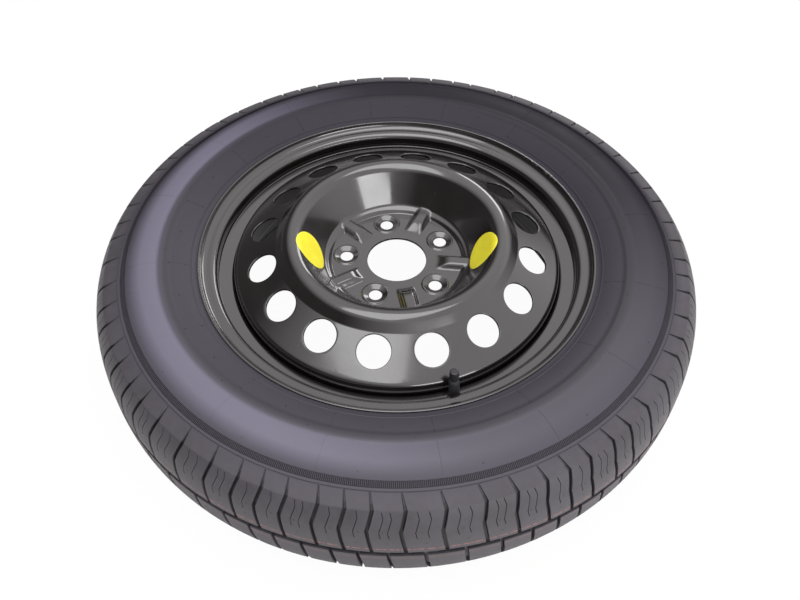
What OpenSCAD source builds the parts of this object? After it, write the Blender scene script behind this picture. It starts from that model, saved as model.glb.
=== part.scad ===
// Space saver spare wheel: a narrow radial tyre on a pressed steel wheel with a snap-in valve.
// Heights in the modules are measured from the tyre's middle plane, outboard side up.
// Each node is then moved so that the origin lies in the hub bore, on the mounting face.

/* [Tyre] */
// Diameter over the tread
tyre_d = 671; // [660:1:680]
// Width over the sidewalls
tyre_w = 143.6; // [141:0.2:146]
// Widest point, as a share of the section's height over the flange
wide_share = 0.408; // [0.38:0.001:0.44]
// Ridge that ends the tread's shoulder, as a share of that height
ridge_share = 0.713; // [0.69:0.001:0.73]
// Distance from the widest point in to the ridge, along the axle
ridge_in = 9.5; // [8:0.1:11]
// Distance from the widest point in to the tread's edge, along the axle
shoulder_in = 15.5; // [14:0.1:17]
// Drop of the tread's curve at its full width, as a share of the section's height
crown_share = 0.523; // [0.5:0.001:0.545]
// Half of that full width
crown_reach = 73.5; // [72:0.5:75]
// Thickness of the sidewall
sidewall_t = 7.5; // [6.5:0.5:8.5]
// Thickness of rubber and belts under the tread's crown
crown_t = 13; // [11:0.5:15]
// Width of the bead on its seat
bead_w = 10; // [9:0.5:10.5]

/* [Tread] */
// Depth of the grooves
groove_depth = 4.5; // [3:0.5:6]
// Depth of the notches that run out over the shoulder
notch_depth = 1.8; // [1:0.2:2.4]
// Width of the groove round the crown
crown_groove_w = 7.5; // [6:0.5:9]
// Height of that groove's middle above the middle plane
crown_groove_z = 2.5; // [0:0.5:4]
// Width of the cross grooves
cross_groove_w = 3.2; // [2:0.2:4]
// Width of those notches
shoulder_notch_w = 1.4; // [1:0.2:2]
// Angle of the first cross groove
first_groove = -88.2; // [-95:0.1:-80]
// Sizes of the tread blocks round the tyre, short (S), middle (M) and long (L)
block_mix = "LLMMSSMSMLLSMLSSMMLSMLMSSLMMSLSMMLLSMSSMLMSLMSMLMSLLMSMSMSMLLMSSMSSM";

/* [Rim] */
// Diameter of the bead seats
rim_d = 405.6; // [404:0.1:407]
// Width between the flanges
rim_w = 101.6; // [98:0.2:105]
// Height of the flanges above the bead seats
flange_h = 17; // [15:0.5:18]
// Outer radius of the flanges' curl
flange_curl = 9.4; // [8:0.2:10]
// Thickness of the rim's steel
rim_t = 2.3; // [2:0.1:3]
// Depth of the drop centre under the bead seats
well_depth = 18.3; // [16:0.1:20]
// Height of the drop centre's outboard shoulder
well_top = 35.5; // [34:0.5:37]
// Slope of that shoulder from level
well_slope = 7; // [4:1:10]
// Height of the safety humps
hump_h = 0.9; // [0.5:0.1:1.2]

/* [Disc] */
// Distance from the tyre's middle plane to the mounting face
wheel_offset = 35; // [30:1:40]
// Thickness of the disc's steel
disc_t = 3; // [2.5:0.1:3.5]
// Diameter of the hub bore
bore_d = 66.6; // [64:0.1:68]
// Radius of the hub plate's edge
plate_r = 73.5; // [71:0.5:75]
// Distance from the hub plate's edge out to the bowl's foot
bowl_foot_out = 7.9; // [7:0.1:9]
// Height of the bowl's foot above the hub plate
bowl_foot_h = 5.3; // [4.5:0.1:6]
// Slope of the bowl's wall from level
bowl_slope = 55.7; // [53:0.1:58]
// Radius of the crest's middle
crest_r = 115.8; // [114:0.2:118]
// Height of the crest above the middle plane
crest_top = 82.7; // [80:0.1:85]
// Rounding of the crest
crest_round = 14; // [12:0.5:16]
// Slope of the crest's outer side from level
crest_drop = 46; // [42:1:50]
// Length of that side, down to the vented ring
crest_run = 10.77; // [10:0.1:12]
// Rounding where the bowl's wall meets its foot
foot_round = 6; // [4:0.5:8]
// Rounding of the disc's outer shoulder
shoulder_round = 9; // [7:0.5:11]
// Height of the skirt's lower edge above the middle plane
skirt_low = 10; // [6:1:14]

/* [Vents] */
// Number of vents
vent_n = 16; // [12:1:18]
// Diameter of the vents
vent_d = 35.5; // [30:0.5:36]
// Place of the vents on the vented ring, as a share of its width from the crest's side
vent_share = 0.3535; // [0.33:0.001:0.38]
// Slope of the vented ring from level
vent_slope = 27.5; // [26:0.5:29]
// Angle of the first vent
vent_first = -98.5; // [-110:0.1:-88]

/* [Lug holes] */
// Number of lug holes
lug_n = 5; // [4:1:6]
// Diameter of the lug holes' circle
lug_pcd = 114.3; // [110:0.1:118]
// Diameter of the lug holes
lug_d = 14.5; // [13:0.1:16]
// Diameter of the coned seats' mouth
lug_seat_d = 26; // [22:0.5:27]
// Height of the raised ring round each seat
lug_ring_h = 1.2; // [0.6:0.1:2]
// Straight wall under each coned seat
lug_wall = 1.2; // [0.8:0.1:1.8]
// Angle of the first lug hole
lug_first = 102.3; // [90:0.1:110]
// Height of the ribs between the lug holes
rib_h = 6; // [4:0.5:7]
// Width of the ribs at their foot
rib_foot_w = 23; // [18:0.5:26]
// Width of the ribs at their top
rib_top_w = 12; // [8:0.5:14]
// Radius where the ribs start
rib_start_r = 47; // [44:0.5:50]
// Length of the ribs' sloping end
rib_end_l = 10; // [7:0.5:14]

/* [Welds] */
// Number of weld beads
weld_n = 8; // [6:1:10]
// Length of each bead as an angle
weld_angle = 24; // [15:1:30]
// Leg of the weld bead
weld_leg = 3.6; // [2.5:0.1:4.5]

/* [Valve] */
// Diameter of the valve hole in the rim
valve_hole_d = 11.5; // [11:0.1:12]
// Distance from the drop centre's wall out to the valve hole's middle
valve_out = 9.25; // [9:0.05:10]
// Angle of the valve
valve_angle = -72.4; // [-80:0.1:-60]
// Length of the rubber body outside the rim
body_l = 24; // [22:0.5:26]
// Diameter of the rubber body
body_d = 11.4; // [10.8:0.2:12]
// Diameter of the rubber's seat ring
seat_ring_d = 13.6; // [12.6:0.2:14]
// Diameter of the rubber's bulb inside the rim
bulb_d = 16.4; // [15:0.2:17]
// Length of the bulb
bulb_l = 6; // [4:0.5:7]
// Diameter of the brass stem's thread
stem_d = 7.74; // [7.5:0.02:7.9]
// Length of the stem above the rubber
stem_l = 9.5; // [8.5:0.5:11]
// Diameter of the stem's core chamber
chamber_d = 4.4; // [4.2:0.1:4.8]
// Outer diameter of the cap
cap_d = 9.6; // [9.2:0.1:10.5]
// Length of the cap
cap_l = 11.6; // [11:0.1:13]
// Radial clearance between the cap and the thread
cap_clearance = 0.08; // [0.05:0.01:0.1]
// Thickness of the cap's seal
cap_seal_t = 0.9; // [0.6:0.1:1.2]
// Height of the cap's knurls
knurl_h = 0.25; // [0.15:0.05:0.3]

/* [Valve core] */
// Diameter of the pin
pin_d = 1.1; // [1:0.05:1.3]
// Radial clearance round the pin
pin_clearance = 0.1; // [0.08:0.01:0.12]
// Length of the swivel nut
nut_l = 4.4; // [4:0.1:5]
// Depth of the nut's top below the stem's end
nut_depth = 0.9; // [0.6:0.1:1.4]
// Length of the barrel
barrel_l = 7.5; // [6.5:0.1:8]
// Diameter of the barrel
barrel_d = 3.2; // [3:0.1:3.4]
// Diameter of the pin's cup
cup_d = 2.9; // [2.6:0.1:3.1]
// Length of the pin's cup
cup_l = 1.6; // [1.2:0.1:2]
// Length of the spring when the valve is shut
spring_l = 8; // [7:0.5:9]
// Diameter of the spring's wire
spring_wire = 0.32; // [0.25:0.01:0.4]
// Number of turns of the spring
spring_turns = 6; // [5:1:8]

/* [Stickers] */
// Diameter of the stickers
label_d = 46; // [42:1:48]
// Thickness of the stickers
label_t = 0.2; // [0.15:0.05:0.3]
// Distance of the stickers' middle from the bowl's foot
label_up = 24.8; // [24:0.2:26]
// Angle of the right sticker
label_right_angle = -7; // [-12:1:0]
// Angle of the left sticker
label_left_angle = -172.5; // [-180:0.5:-165]

/* [Hidden] */
$fn = 96;

// Gap between faces that meet
face_gap = 0.05;
// Gap between pieces that close on each other
stop_gap = 0.1;
// Overrun of a cutting tool past the face that it cuts
over = 1;
// Steps of the bends in the sheet sections, in degrees
bend_step = 13;

tyre_r = tyre_d / 2;
half_w = tyre_w / 2;
seat_r = rim_d / 2;
flange_z = rim_w / 2;
lip_r = seat_r + flange_h;
section_h = tyre_r - lip_r;
crown_drop = crown_share * section_h;
crown_base_r = tyre_r - crown_drop;
tyre_wide_r = lip_r + wide_share * section_h;
ridge_r = lip_r + ridge_share * section_h;
shoulder_z = half_w - shoulder_in;
seat_taper = 5;
plate_top = wheel_offset + disc_t;

// Small helpers on points of a section, each [radius, height]
function unit(v) = v / norm(v);
function left_of(v) = [-v[1], v[0]];
function spin(v, a) = [v[0] * cos(a) - v[1] * sin(a), v[0] * sin(a) + v[1] * cos(a)];
function polar(a) = [cos(a), sin(a)];
// Where a line through a at angle sa meets a line through b at angle sb
function meet(a, sa, b, sb) =
    let (da = polar(sa), db = polar(sb), d = b - a)
    a + da * ((d[0] * db[1] - d[1] * db[0]) / (da[0] * db[1] - da[1] * db[0]));

// One corner of a section, rounded: each corner is [radius, height, bend radius]
function rounded(before, corner, after) =
    let (p = [corner[0], corner[1]],
         d1 = unit(p - [before[0], before[1]]),
         d2 = unit([after[0], after[1]] - p),
         side = d1[0] * d2[1] - d1[1] * d2[0] > 0 ? 1 : -1,
         bend = acos(min(1, d1 * d2)),
         start = p - d1 * corner[2] * tan(bend / 2),
         middle = start + left_of(d1) * side * corner[2],
         steps = max(1, ceil(bend / bend_step)))
    corner[2] == 0 ? [p] : [for (k = [0 : steps]) middle + spin(start - middle, side * bend * k / steps)];

// The whole path with every inner corner rounded
function bent(corners) =
    let (last = len(corners) - 1)
    concat([[corners[0][0], corners[0][1]]],
           [for (i = [1 : last - 1]) each rounded(corners[i - 1], corners[i], corners[i + 1])],
           [[corners[last][0], corners[last][1]]]);

// The path moved sideways to its left by a distance
function beside(path, distance) =
    let (last = len(path) - 1)
    [for (i = [0 : last])
        let (n1 = left_of(unit(path[max(i, 1)] - path[max(i, 1) - 1])),
             n2 = left_of(unit(path[min(i, last - 1) + 1] - path[min(i, last - 1)])),
             n = unit(n1 + n2))
        path[i] + n * distance / (n * n1)];

function reversed(list) = [for (i = [len(list) - 1 : -1 : 0]) list[i]];

// A pressed sheet seen in section: the path and its copy at the sheet's thickness
function sheet(path, from, to) = concat(beside(path, from), reversed(beside(path, to)));

function mirrored(path) = [for (p = reversed(path)) [p[0], -p[1]]];
function inner(path) = [for (i = [1 : len(path) - 2]) path[i]];
function rest(path) = [for (i = [1 : len(path) - 1]) path[i]];

// Moves a node from the middle plane to the mounting face
module at_hub() {
    translate([0, 0, -wheel_offset]) children();
}

// Tyre

// Radius of the tread's surface at height z
function tread_r(z) = crown_base_r + crown_drop * sqrt(1 - pow(abs(z) / crown_reach, 3));

// The tread's curve from the middle plane out to the angle given
function tread_curve(width, drop, reach) =
    [for (a = [0 : 5]) let (t = reach * a / 5) [crown_base_r + drop * cos(t), width * pow(sin(t), 2 / 3)]];

// Radius of an arc that falls by a height over a length from its highest point
function arc_curve(length, fall) = (length ^ 2 + fall ^ 2) / (2 * fall);

// Arc of a sidewall about its highest point, between two radii
function side_arc(curve, top, from_r, to_r, steps) =
    let (a1 = asin((from_r - top[0]) / curve), a2 = asin((to_r - top[0]) / curve))
    [for (k = [0 : steps]) let (a = a1 + (a2 - a1) * k / steps)
        [top[0] + curve * sin(a), top[1] - curve + curve * cos(a)]];

heel_bend = 5.5;
curl_middle = [lip_r - flange_curl, flange_z + flange_curl];
heel_middle = [seat_r - rim_t / 2 + heel_bend * tan((90 - seat_taper) / 2), flange_z + rim_t / 2 - heel_bend];
bead_gap = 0.15;

// Bead from the flange's curl round the heel to the toe
bead_side = concat(
    [for (a = [-8 : -16 : -88]) curl_middle + polar(a) * (flange_curl + bead_gap)],
    [for (a = [90 : 17 : 175]) heel_middle + polar(a) * (heel_bend - rim_t / 2 - bead_gap)],
    [[seat_r + bead_gap - bead_w * tan(seat_taper), flange_z - bead_w],
     [seat_r + 3.5, flange_z - bead_w - 0.8]]);

widest = [tyre_wide_r, half_w];
ridge = [ridge_r, half_w - ridge_in];
shoulder = [tread_r(shoulder_z), shoulder_z];
inner_top = [crown_base_r, half_w - sidewall_t];
// Where the sidewall meets the flange's lip, outside and inside
lip_start = [lip_r + 3, flange_z + flange_curl - 0.8];
inner_end = [lip_r + 4, flange_z + 2];
upper_curve = arc_curve(ridge_r - tyre_wide_r, ridge_in);
lower_curve = arc_curve(tyre_wide_r - lip_start[0], half_w - lip_start[1]);
inner_curve = arc_curve(crown_base_r - inner_end[0], inner_top[1] - inner_end[1]);

outer_side = concat(tread_curve(crown_reach, crown_drop, asin(pow(shoulder_z / crown_reach, 1.5))),
                    side_arc(upper_curve, widest, ridge_r, tyre_wide_r, 3),
                    rest(side_arc(lower_curve, widest, tyre_wide_r, lip_start[0], 4)));
full_curve = 90;
inner_side = concat(tread_curve(inner_top[1], crown_drop - crown_t, full_curve),
                    rest(side_arc(inner_curve, inner_top, crown_base_r, inner_end[0], 4)));

half_section = concat(outer_side, bead_side, reversed(inner_side));
tyre_section = concat(half_section, inner(mirrored(half_section)));

// Corners of a cross groove, each [radius, height, sideways shift], from the ridge inward
groove_start = ridge + 0.15 * (shoulder - ridge);
kink_z = 38;
cross_groove = [[groove_start[0], groove_start[1], -2.7], [shoulder[0], shoulder[1], 0],
                [tread_r(kink_z), kink_z, -4.4]];
crown_shift = 0.9;

// One straight stretch of a cross groove
module groove_stretch(from, to, width, depth) {
    out = left_of(unit([to[0] - from[0], to[1] - from[1]]));
    low = [from[0] - out[0] * depth, from[2], from[1] - out[1] * depth];
    high = [to[0] - out[0] * depth, to[2], to[1] - out[1] * depth];
    run = low[2] - high[2];
    length = norm(high - low);
    translate(low)
        rotate([atan2(high[1] - low[1], run), 0, 0])
            rotate([0, -atan2(high[0] - low[0], run), 0])
                translate([0, -width / 2, -length - width / 4])
                    cube([2.5 * groove_depth, width, length + width / 2]);
}

module cross_groove_cut(end_z) {
    groove_stretch(cross_groove[0], cross_groove[1], shoulder_notch_w, notch_depth);
    groove_stretch(cross_groove[1], cross_groove[2], cross_groove_w, groove_depth);
    groove_stretch(cross_groove[2], [tyre_r, end_z, crown_shift], cross_groove_w, groove_depth);
}

// Share of the circle that each block takes, and where each groove stands
function block_size(letter) = letter == "S" ? 1 : letter == "M" ? 1.23 : 1.5;
block_n = len(block_mix);
block_sizes = [for (letter = block_mix) block_size(letter)];
function total(list, n) = n <= 0 ? 0 : list[n - 1] + total(list, n - 1);
block_unit = 360 / total(block_sizes, block_n);
groove_angles = [for (i = [0 : block_n - 1]) first_groove + block_unit * total(block_sizes, i)];

module tyre() {
    color("dimgray")
    difference() {
        rotate_extrude($fn = 180) polygon(tyre_section);
        rotate_extrude($fn = 180)
            translate([tyre_r - groove_depth, crown_groove_z - crown_groove_w / 2])
                square([2 * groove_depth, crown_groove_w]);
        for (i = [0 : block_n - 1]) {
            rotate([0, 0, groove_angles[i]]) cross_groove_cut(crown_groove_z);
            rotate([0, 0, groove_angles[i] + block_unit * block_sizes[i] / 2])
                rotate([180, 0, 0]) cross_groove_cut(-crown_groove_z);
        }
    }
}

// Rim

rim_seat = seat_r - rim_t / 2;
rim_flange = flange_z + rim_t / 2;
rim_lip = lip_r - rim_t / 2;
well_r = rim_seat - well_depth;
well_foot = well_top - (rim_seat - well_r) * tan(well_slope);
inner_well_low = -4;
inner_well_top = -22;
hump_z = 38.4;
inner_hump_z = -36;

function seat_at(z) = rim_seat - (flange_z - abs(z)) * tan(seat_taper);
hump_foot = 2.6;
hump_top = [seat_at(hump_z) + hump_h, hump_z, 1.6];
inner_hump_top = [seat_at(inner_hump_z) + hump_h, inner_hump_z, 1.6];

// Middle line of the rim's steel, from the outboard lip to the inboard lip
curl_bend = flange_curl - rim_t / 2;
lip_top = flange_z + flange_curl + 0.4;
rim_path = bent([
     [rim_lip, lip_top, 0], [rim_lip, rim_flange, curl_bend],
     [rim_seat, rim_flange, heel_bend], [seat_at(hump_z) - 0.2, hump_z + hump_foot, 2], hump_top,
     [seat_at(well_top) - 0.3, well_top, 2.4], [well_r, well_foot, 3.5], [well_r, inner_well_low, 6],
     [seat_at(inner_well_top), inner_well_top, 8],
     [seat_at(inner_hump_z) - 0.2, inner_hump_z + hump_foot, 2], inner_hump_top,
     [seat_at(inner_hump_z) - 0.2, inner_hump_z - hump_foot, 2],
     [rim_seat, -rim_flange, heel_bend], [rim_lip, -rim_flange, curl_bend], [rim_lip, -lip_top, 0]]);

// The valve's own frame: its foot on the outboard face of the drop centre's shoulder, looking out
valve_r = well_r + valve_out;
valve_foot_z = well_top - (seat_at(well_top) - valve_r) * tan(well_slope) + rim_t / 2 / cos(well_slope);

module at_valve() {
    rotate([0, 0, valve_angle])
        translate([valve_r, 0, valve_foot_z])
            rotate([0, -well_slope, 0]) children();
}

module rim() {
    color("#1c1a1c")
    difference() {
        rotate_extrude($fn = 180) polygon(sheet(rim_path, -rim_t / 2, rim_t / 2));
        at_valve() translate([0, 0, -rim_t - over]) cylinder(h = rim_t + 2 * over, d = valve_hole_d);
    }
}

// Disc

skirt_r = well_r - rim_t / 2 - face_gap;
crest_middle = [crest_r, crest_top - crest_round];
crest_in = crest_middle + polar(90 + bowl_slope) * crest_round;
crest_out = crest_middle + polar(90 - crest_drop) * crest_round;
bowl_foot_r = plate_r + bowl_foot_out;
bowl_foot = [bowl_foot_r, plate_top + bowl_foot_h];
wall_angle = atan2(crest_in[1] - bowl_foot[1], crest_in[0] - bowl_foot[0]);
crest_corner = meet(bowl_foot, wall_angle, crest_out, -crest_drop);
vent_corner = crest_out + polar(-crest_drop) * crest_run;
skirt_corner = meet(vent_corner, -vent_slope, [skirt_r, 0], 90);
vent_middle = vent_corner + vent_share * (skirt_corner - vent_corner);
plate_start_r = bore_d / 2 - 6;

// Outboard face of the disc, from inside the hub bore out to the skirt's lower edge
disc_path = bent([
    [plate_start_r, plate_top, 0], [plate_r, plate_top, 1.5],
    [plate_r + 3.4, plate_top + 3.6, disc_t + 0.8], [bowl_foot[0], bowl_foot[1], foot_round],
    [crest_corner[0], crest_corner[1], crest_round], [vent_corner[0], vent_corner[1], 4],
    [skirt_corner[0], skirt_corner[1], shoulder_round], [skirt_r, skirt_low, 0]]);

module on_lug_circle(i) {
    rotate([0, 0, lug_first + i * 360 / lug_n]) translate([lug_pcd / 2, 0, 0]) children();
}

// Raised rib between two lug holes, drawn with its top at the height given above the plate
module rib_form(height, foot_w, top_w, end_r) {
    intersection() {
        rotate([90, 0, 90]) linear_extrude(height = end_r)
            polygon([[-foot_w / 2, -disc_t], [-top_w / 2, height], [top_w / 2, height], [foot_w / 2, -disc_t]]);
        rotate_extrude()
            polygon([[rib_start_r, -disc_t], [rib_start_r, 0], [rib_start_r + rib_end_l, height],
                     [end_r, height], [end_r, -disc_t]]);
    }
}

module lug_cut(i) {
    on_lug_circle(i) {
        translate([0, 0, wheel_offset - over])
            cylinder(h = disc_t + rib_h, d = lug_d);
        translate([0, 0, wheel_offset + lug_wall])
            cylinder(h = disc_t + lug_ring_h - lug_wall, d1 = lug_d, d2 = lug_seat_d);
        translate([0, 0, plate_top + lug_ring_h])
            cylinder(h = rib_h, d = lug_seat_d);
    }
}

module vent_cut(i) {
    rotate([0, 0, vent_first + i * 360 / vent_n])
        translate([vent_middle[0], 0, vent_middle[1]])
            rotate([0, vent_slope, 0])
                translate([0, 0, -3 * disc_t]) cylinder(h = 5 * disc_t, d = vent_d);
}

module wheel_disc() {
    color("#171517")
    difference() {
        union() {
            rotate_extrude($fn = 180) polygon(sheet(disc_path, 0, -disc_t));
            for (i = [0 : lug_n - 1]) {
                on_lug_circle(i)
                    translate([0, 0, plate_top - disc_t / 2])
                        cylinder(h = disc_t / 2 + lug_ring_h, d1 = lug_seat_d + 9, d2 = lug_seat_d + 2);
                rotate([0, 0, lug_first + (i + 0.5) * 360 / lug_n])
                    translate([0, 0, plate_top])
                        rib_form(rib_h, rib_foot_w, rib_top_w, bowl_foot_r + 3);
            }
        }
        translate([0, 0, wheel_offset - over]) cylinder(h = disc_t + 2 * over, d = bore_d);
        for (i = [0 : lug_n - 1]) {
            lug_cut(i);
            rotate([0, 0, lug_first + (i + 0.5) * 360 / lug_n])
                translate([0, 0, plate_top - disc_t])
                    rib_form(rib_h, rib_foot_w - disc_t, rib_top_w - disc_t, bowl_foot_r - 2);
        }
        for (i = [0 : vent_n - 1]) vent_cut(i);
    }
}

module disc_welds() {
    bead = [[skirt_r, skirt_low - face_gap],
            [skirt_r - weld_leg * 0.8, skirt_low - face_gap],
            [skirt_r - weld_leg * 0.62, skirt_low - weld_leg * 0.55],
            [skirt_r, skirt_low - weld_leg]];
    color("#2a2728")
    for (i = [0 : weld_n - 1])
        rotate([0, 0, (i + 0.5) * 360 / weld_n])
            rotate_extrude(angle = weld_angle, $fn = 180) polygon(bead);
}

// Valve

stem_top = body_l + stem_l;
stem_bottom = -rim_t - bulb_l;
cap_low = body_l + 0.3;
cap_top = cap_low + cap_l;
cap_bore_d = stem_d + 2 * cap_clearance;
cap_seal_low = stem_top + stop_gap;
cap_seal_top = cap_seal_low + cap_seal_t;
nut_top = stem_top - nut_depth;
barrel_top = nut_top - nut_l - face_gap;
barrel_low = barrel_top - barrel_l;
pin_seal_t = 0.4;
cup_top = barrel_low - stop_gap - pin_seal_t;
cup_low = cup_top - cup_l;
spring_low = cup_low - spring_l;
spring_cup_l = 2;
spring_cup_low = spring_low - spring_cup_l;
pin_top = stem_top - 0.3;
pin_bottom = spring_low - 1;
pin_bore_d = pin_d + 2 * pin_clearance;
inner_bore_d = 2.4;
stem_waist_d = stem_d - 1.4;

// The rubber body: bulb, groove for the rim, seat ring and tapered body
module valve_rubber() {
    ring_h = 1.6;
    body_low_d = body_d;
    color("#26262a")
    at_hub() at_valve()
    rotate_extrude()
        polygon([[stem_waist_d / 2, stem_bottom], [bulb_d / 2 - 2, stem_bottom], [bulb_d / 2, -rim_t - 2],
                 [bulb_d / 2 - 0.8, -rim_t - face_gap], [valve_hole_d / 2 - face_gap, -rim_t - face_gap],
                 [valve_hole_d / 2 - face_gap, face_gap], [seat_ring_d / 2, face_gap],
                 [seat_ring_d / 2, ring_h * 0.6], [body_low_d / 2 + 0.3, ring_h + 1],
                 [body_low_d / 2, ring_h + 3], [body_d / 2 - 0.3, body_l - 3],
                 [body_d / 2 - 0.7, body_l - 2.2], [body_d / 2 - 0.9, body_l - 0.6],
                 [body_d / 2 - 1.5, body_l], [stem_waist_d / 2, body_l]]);
}

// The brass stem: bonded tube, threaded outside at its end, with the chamber for the core
module valve_stem() {
    neck = face_gap;
    color("#b8964a")
    at_hub() at_valve()
    difference() {
        union() {
            translate([0, 0, stem_bottom])
                cylinder(h = body_l - stem_bottom, d = stem_waist_d - 2 * neck);
            translate([0, 0, body_l]) cylinder(h = stem_l - 0.5, d = stem_d);
            translate([0, 0, stem_top - 0.5]) cylinder(h = 0.5, d1 = stem_d, d2 = stem_d - 0.9);
        }
        translate([0, 0, stem_bottom - over]) cylinder(h = stem_top, d = inner_bore_d);
        translate([0, 0, spring_cup_low - face_gap])
            cylinder(h = stem_top - spring_cup_low + over, d = chamber_d);
    }
}

module valve_cap() {
    knurl_n = 24;
    color("#1b1b1e")
    at_hub() at_valve()
    difference() {
        union() {
            translate([0, 0, cap_low]) cylinder(h = cap_l - 0.8, d = cap_d - 2 * knurl_h);
            translate([0, 0, cap_top - 0.8])
                cylinder(h = 0.8, d1 = cap_d - 2 * knurl_h, d2 = cap_d - 2 * knurl_h - 1.4);
            for (i = [0 : knurl_n - 1])
                rotate([0, 0, i * 360 / knurl_n])
                    translate([cap_d / 2 - knurl_h - 0.3, -0.25, cap_low + 0.6])
                        cube([knurl_h + 0.3, 0.5, cap_l - 2.6]);
        }
        translate([0, 0, cap_low - over])
            cylinder(h = cap_seal_top + face_gap - cap_low + over, d = cap_bore_d);
    }
}

module tube(low, high, outer, inner) {
    at_hub() at_valve()
    difference() {
        translate([0, 0, low]) cylinder(h = high - low, d = outer);
        translate([0, 0, low - over]) cylinder(h = high - low + 2 * over, d = inner);
    }
}

module cap_seal() {
    color("#303034") tube(cap_seal_low, cap_seal_top, cap_bore_d - 0.2, pin_d + 1.2);
}

// The swivel nut: threaded ring with two flats that leave it a bridge for the key
module core_nut() {
    color("#b8964a")
    at_hub() at_valve()
    difference() {
        translate([0, 0, nut_top - nut_l]) cylinder(h = nut_l, d = chamber_d - 0.1);
        translate([0, 0, nut_top - nut_l - over]) cylinder(h = nut_l + 2 * over, d = pin_bore_d);
        for (side = [-1, 1])
            translate([side * (chamber_d / 2 - 0.35) - 0.5, -chamber_d, nut_top - 1.8])
                cube([1, 2 * chamber_d, 1.8 + over]);
    }
}

module core_barrel() {
    color("#b8964a") tube(barrel_low, barrel_top, barrel_d, pin_bore_d);
}

module barrel_seal() {
    seal_low = barrel_low + barrel_l * 0.45;
    color("#a02820") tube(seal_low, seal_low + 1.8, chamber_d - 0.1, barrel_d + 2 * face_gap);
}

module core_pin() {
    color("#c8b070")
    at_hub() at_valve()
    translate([0, 0, pin_bottom]) cylinder(h = pin_top - pin_bottom, d = pin_d);
}

module pin_cup() {
    color("#b8964a") tube(cup_low, cup_top, cup_d, pin_d + 2 * face_gap);
}

module pin_seal() {
    color("#303034") tube(cup_top, cup_top + pin_seal_t, cup_d - 0.4, pin_d + 2 * face_gap);
}

// Coil spring swept along its helix
module core_spring() {
    ring_sides = 6;
    turn_steps = 9;
    coil_r = pin_d / 2 + pin_clearance + spring_wire;
    rings = spring_turns * turn_steps;
    rise = (spring_l - 2 * spring_wire) / rings;
    points = [for (i = [0 : rings]) for (k = [0 : ring_sides - 1])
        let (a = i * 360 / turn_steps, b = k * 360 / ring_sides, r = coil_r + spring_wire / 2 * cos(b))
        [r * cos(a), r * sin(a), spring_low + spring_wire + i * rise + spring_wire / 2 * sin(b)]];
    walls = [for (i = [0 : rings - 1]) for (k = [0 : ring_sides - 1])
        let (n = (k + 1) % ring_sides, a = i * ring_sides, b = (i + 1) * ring_sides)
        each [[a + k, b + k, b + n], [a + k, b + n, a + n]]];
    first = [for (k = [0 : ring_sides - 1]) k];
    last = [for (k = [ring_sides - 1 : -1 : 0]) rings * ring_sides + k];
    color("silver")
    at_hub() at_valve() polyhedron(points, concat([first], walls, [last]), convexity = 10);
}

module spring_cup() {
    color("#b8964a") tube(spring_cup_low, spring_low, chamber_d - 0.5, pin_bore_d + 0.2);
}

// Stickers: a round of thin vinyl that follows the bowl's wall and the crest's inner side

label_path = [for (p = disc_path) if (p[0] > bowl_foot_r - 4 && p[0] < crest_r) p];
label_middle = bowl_foot + polar(wall_angle) * label_up;

module label_at(angle) {
    at_hub()
    intersection() {
        rotate_extrude($fn = 180) polygon(sheet(label_path, face_gap, face_gap + label_t));
        rotate([0, 0, angle])
            translate([label_middle[0], 0, label_middle[1]])
                rotate([0, -wall_angle, 0])
                    translate([0, 0, -label_d / 2]) cylinder(h = label_d, d = label_d);
    }
}

module label_left() {
    color("#f2ea1c") label_at(label_left_angle);
}

module label_right() {
    color("#f2e01c") label_at(label_right_angle);
}

at_hub() tyre();
at_hub() rim();
at_hub() wheel_disc();
at_hub() disc_welds();
valve_rubber();
valve_stem();
valve_cap();
cap_seal();
core_nut();
core_barrel();
barrel_seal();
core_pin();
pin_cup();
pin_seal();
core_spring();
spring_cup();
label_left();
label_right();
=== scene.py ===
# Space saver spare wheel: the finished pieces and their materials, on the frame of the solids.
# Sections are in millimetres, as [radius, height], with heights from the tyre's middle plane.

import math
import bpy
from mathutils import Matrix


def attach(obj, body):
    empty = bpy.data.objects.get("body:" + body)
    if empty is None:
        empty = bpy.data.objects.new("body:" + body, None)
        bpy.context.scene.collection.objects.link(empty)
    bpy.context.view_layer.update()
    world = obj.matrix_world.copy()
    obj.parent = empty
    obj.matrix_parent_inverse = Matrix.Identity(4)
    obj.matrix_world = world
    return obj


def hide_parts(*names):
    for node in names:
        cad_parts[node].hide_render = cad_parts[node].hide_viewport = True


bl_info = {
    "name": "Space saver spare wheel",
    "version": (1, 0, 0),
    "blender": (4, 5, 0),
    "location": "3D View > Sidebar > Spare wheel",
    "description": "Builds a temporary-use spare wheel: tyre, pressed steel wheel, valve and stickers",
    "category": "Object",
}

import bmesh
import bpy
import numpy as np
from mathutils import Matrix, Vector

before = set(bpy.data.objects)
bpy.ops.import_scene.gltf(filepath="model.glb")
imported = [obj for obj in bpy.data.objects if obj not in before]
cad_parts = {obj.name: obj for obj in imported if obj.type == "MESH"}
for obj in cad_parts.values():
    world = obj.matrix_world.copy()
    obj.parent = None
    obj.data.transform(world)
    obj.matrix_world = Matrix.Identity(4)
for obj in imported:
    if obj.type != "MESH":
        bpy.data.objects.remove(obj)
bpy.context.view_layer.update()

MM = 0.001
MIDDLE = -35.0
FULL_TURN = 2 * math.pi


# Properties

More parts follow.
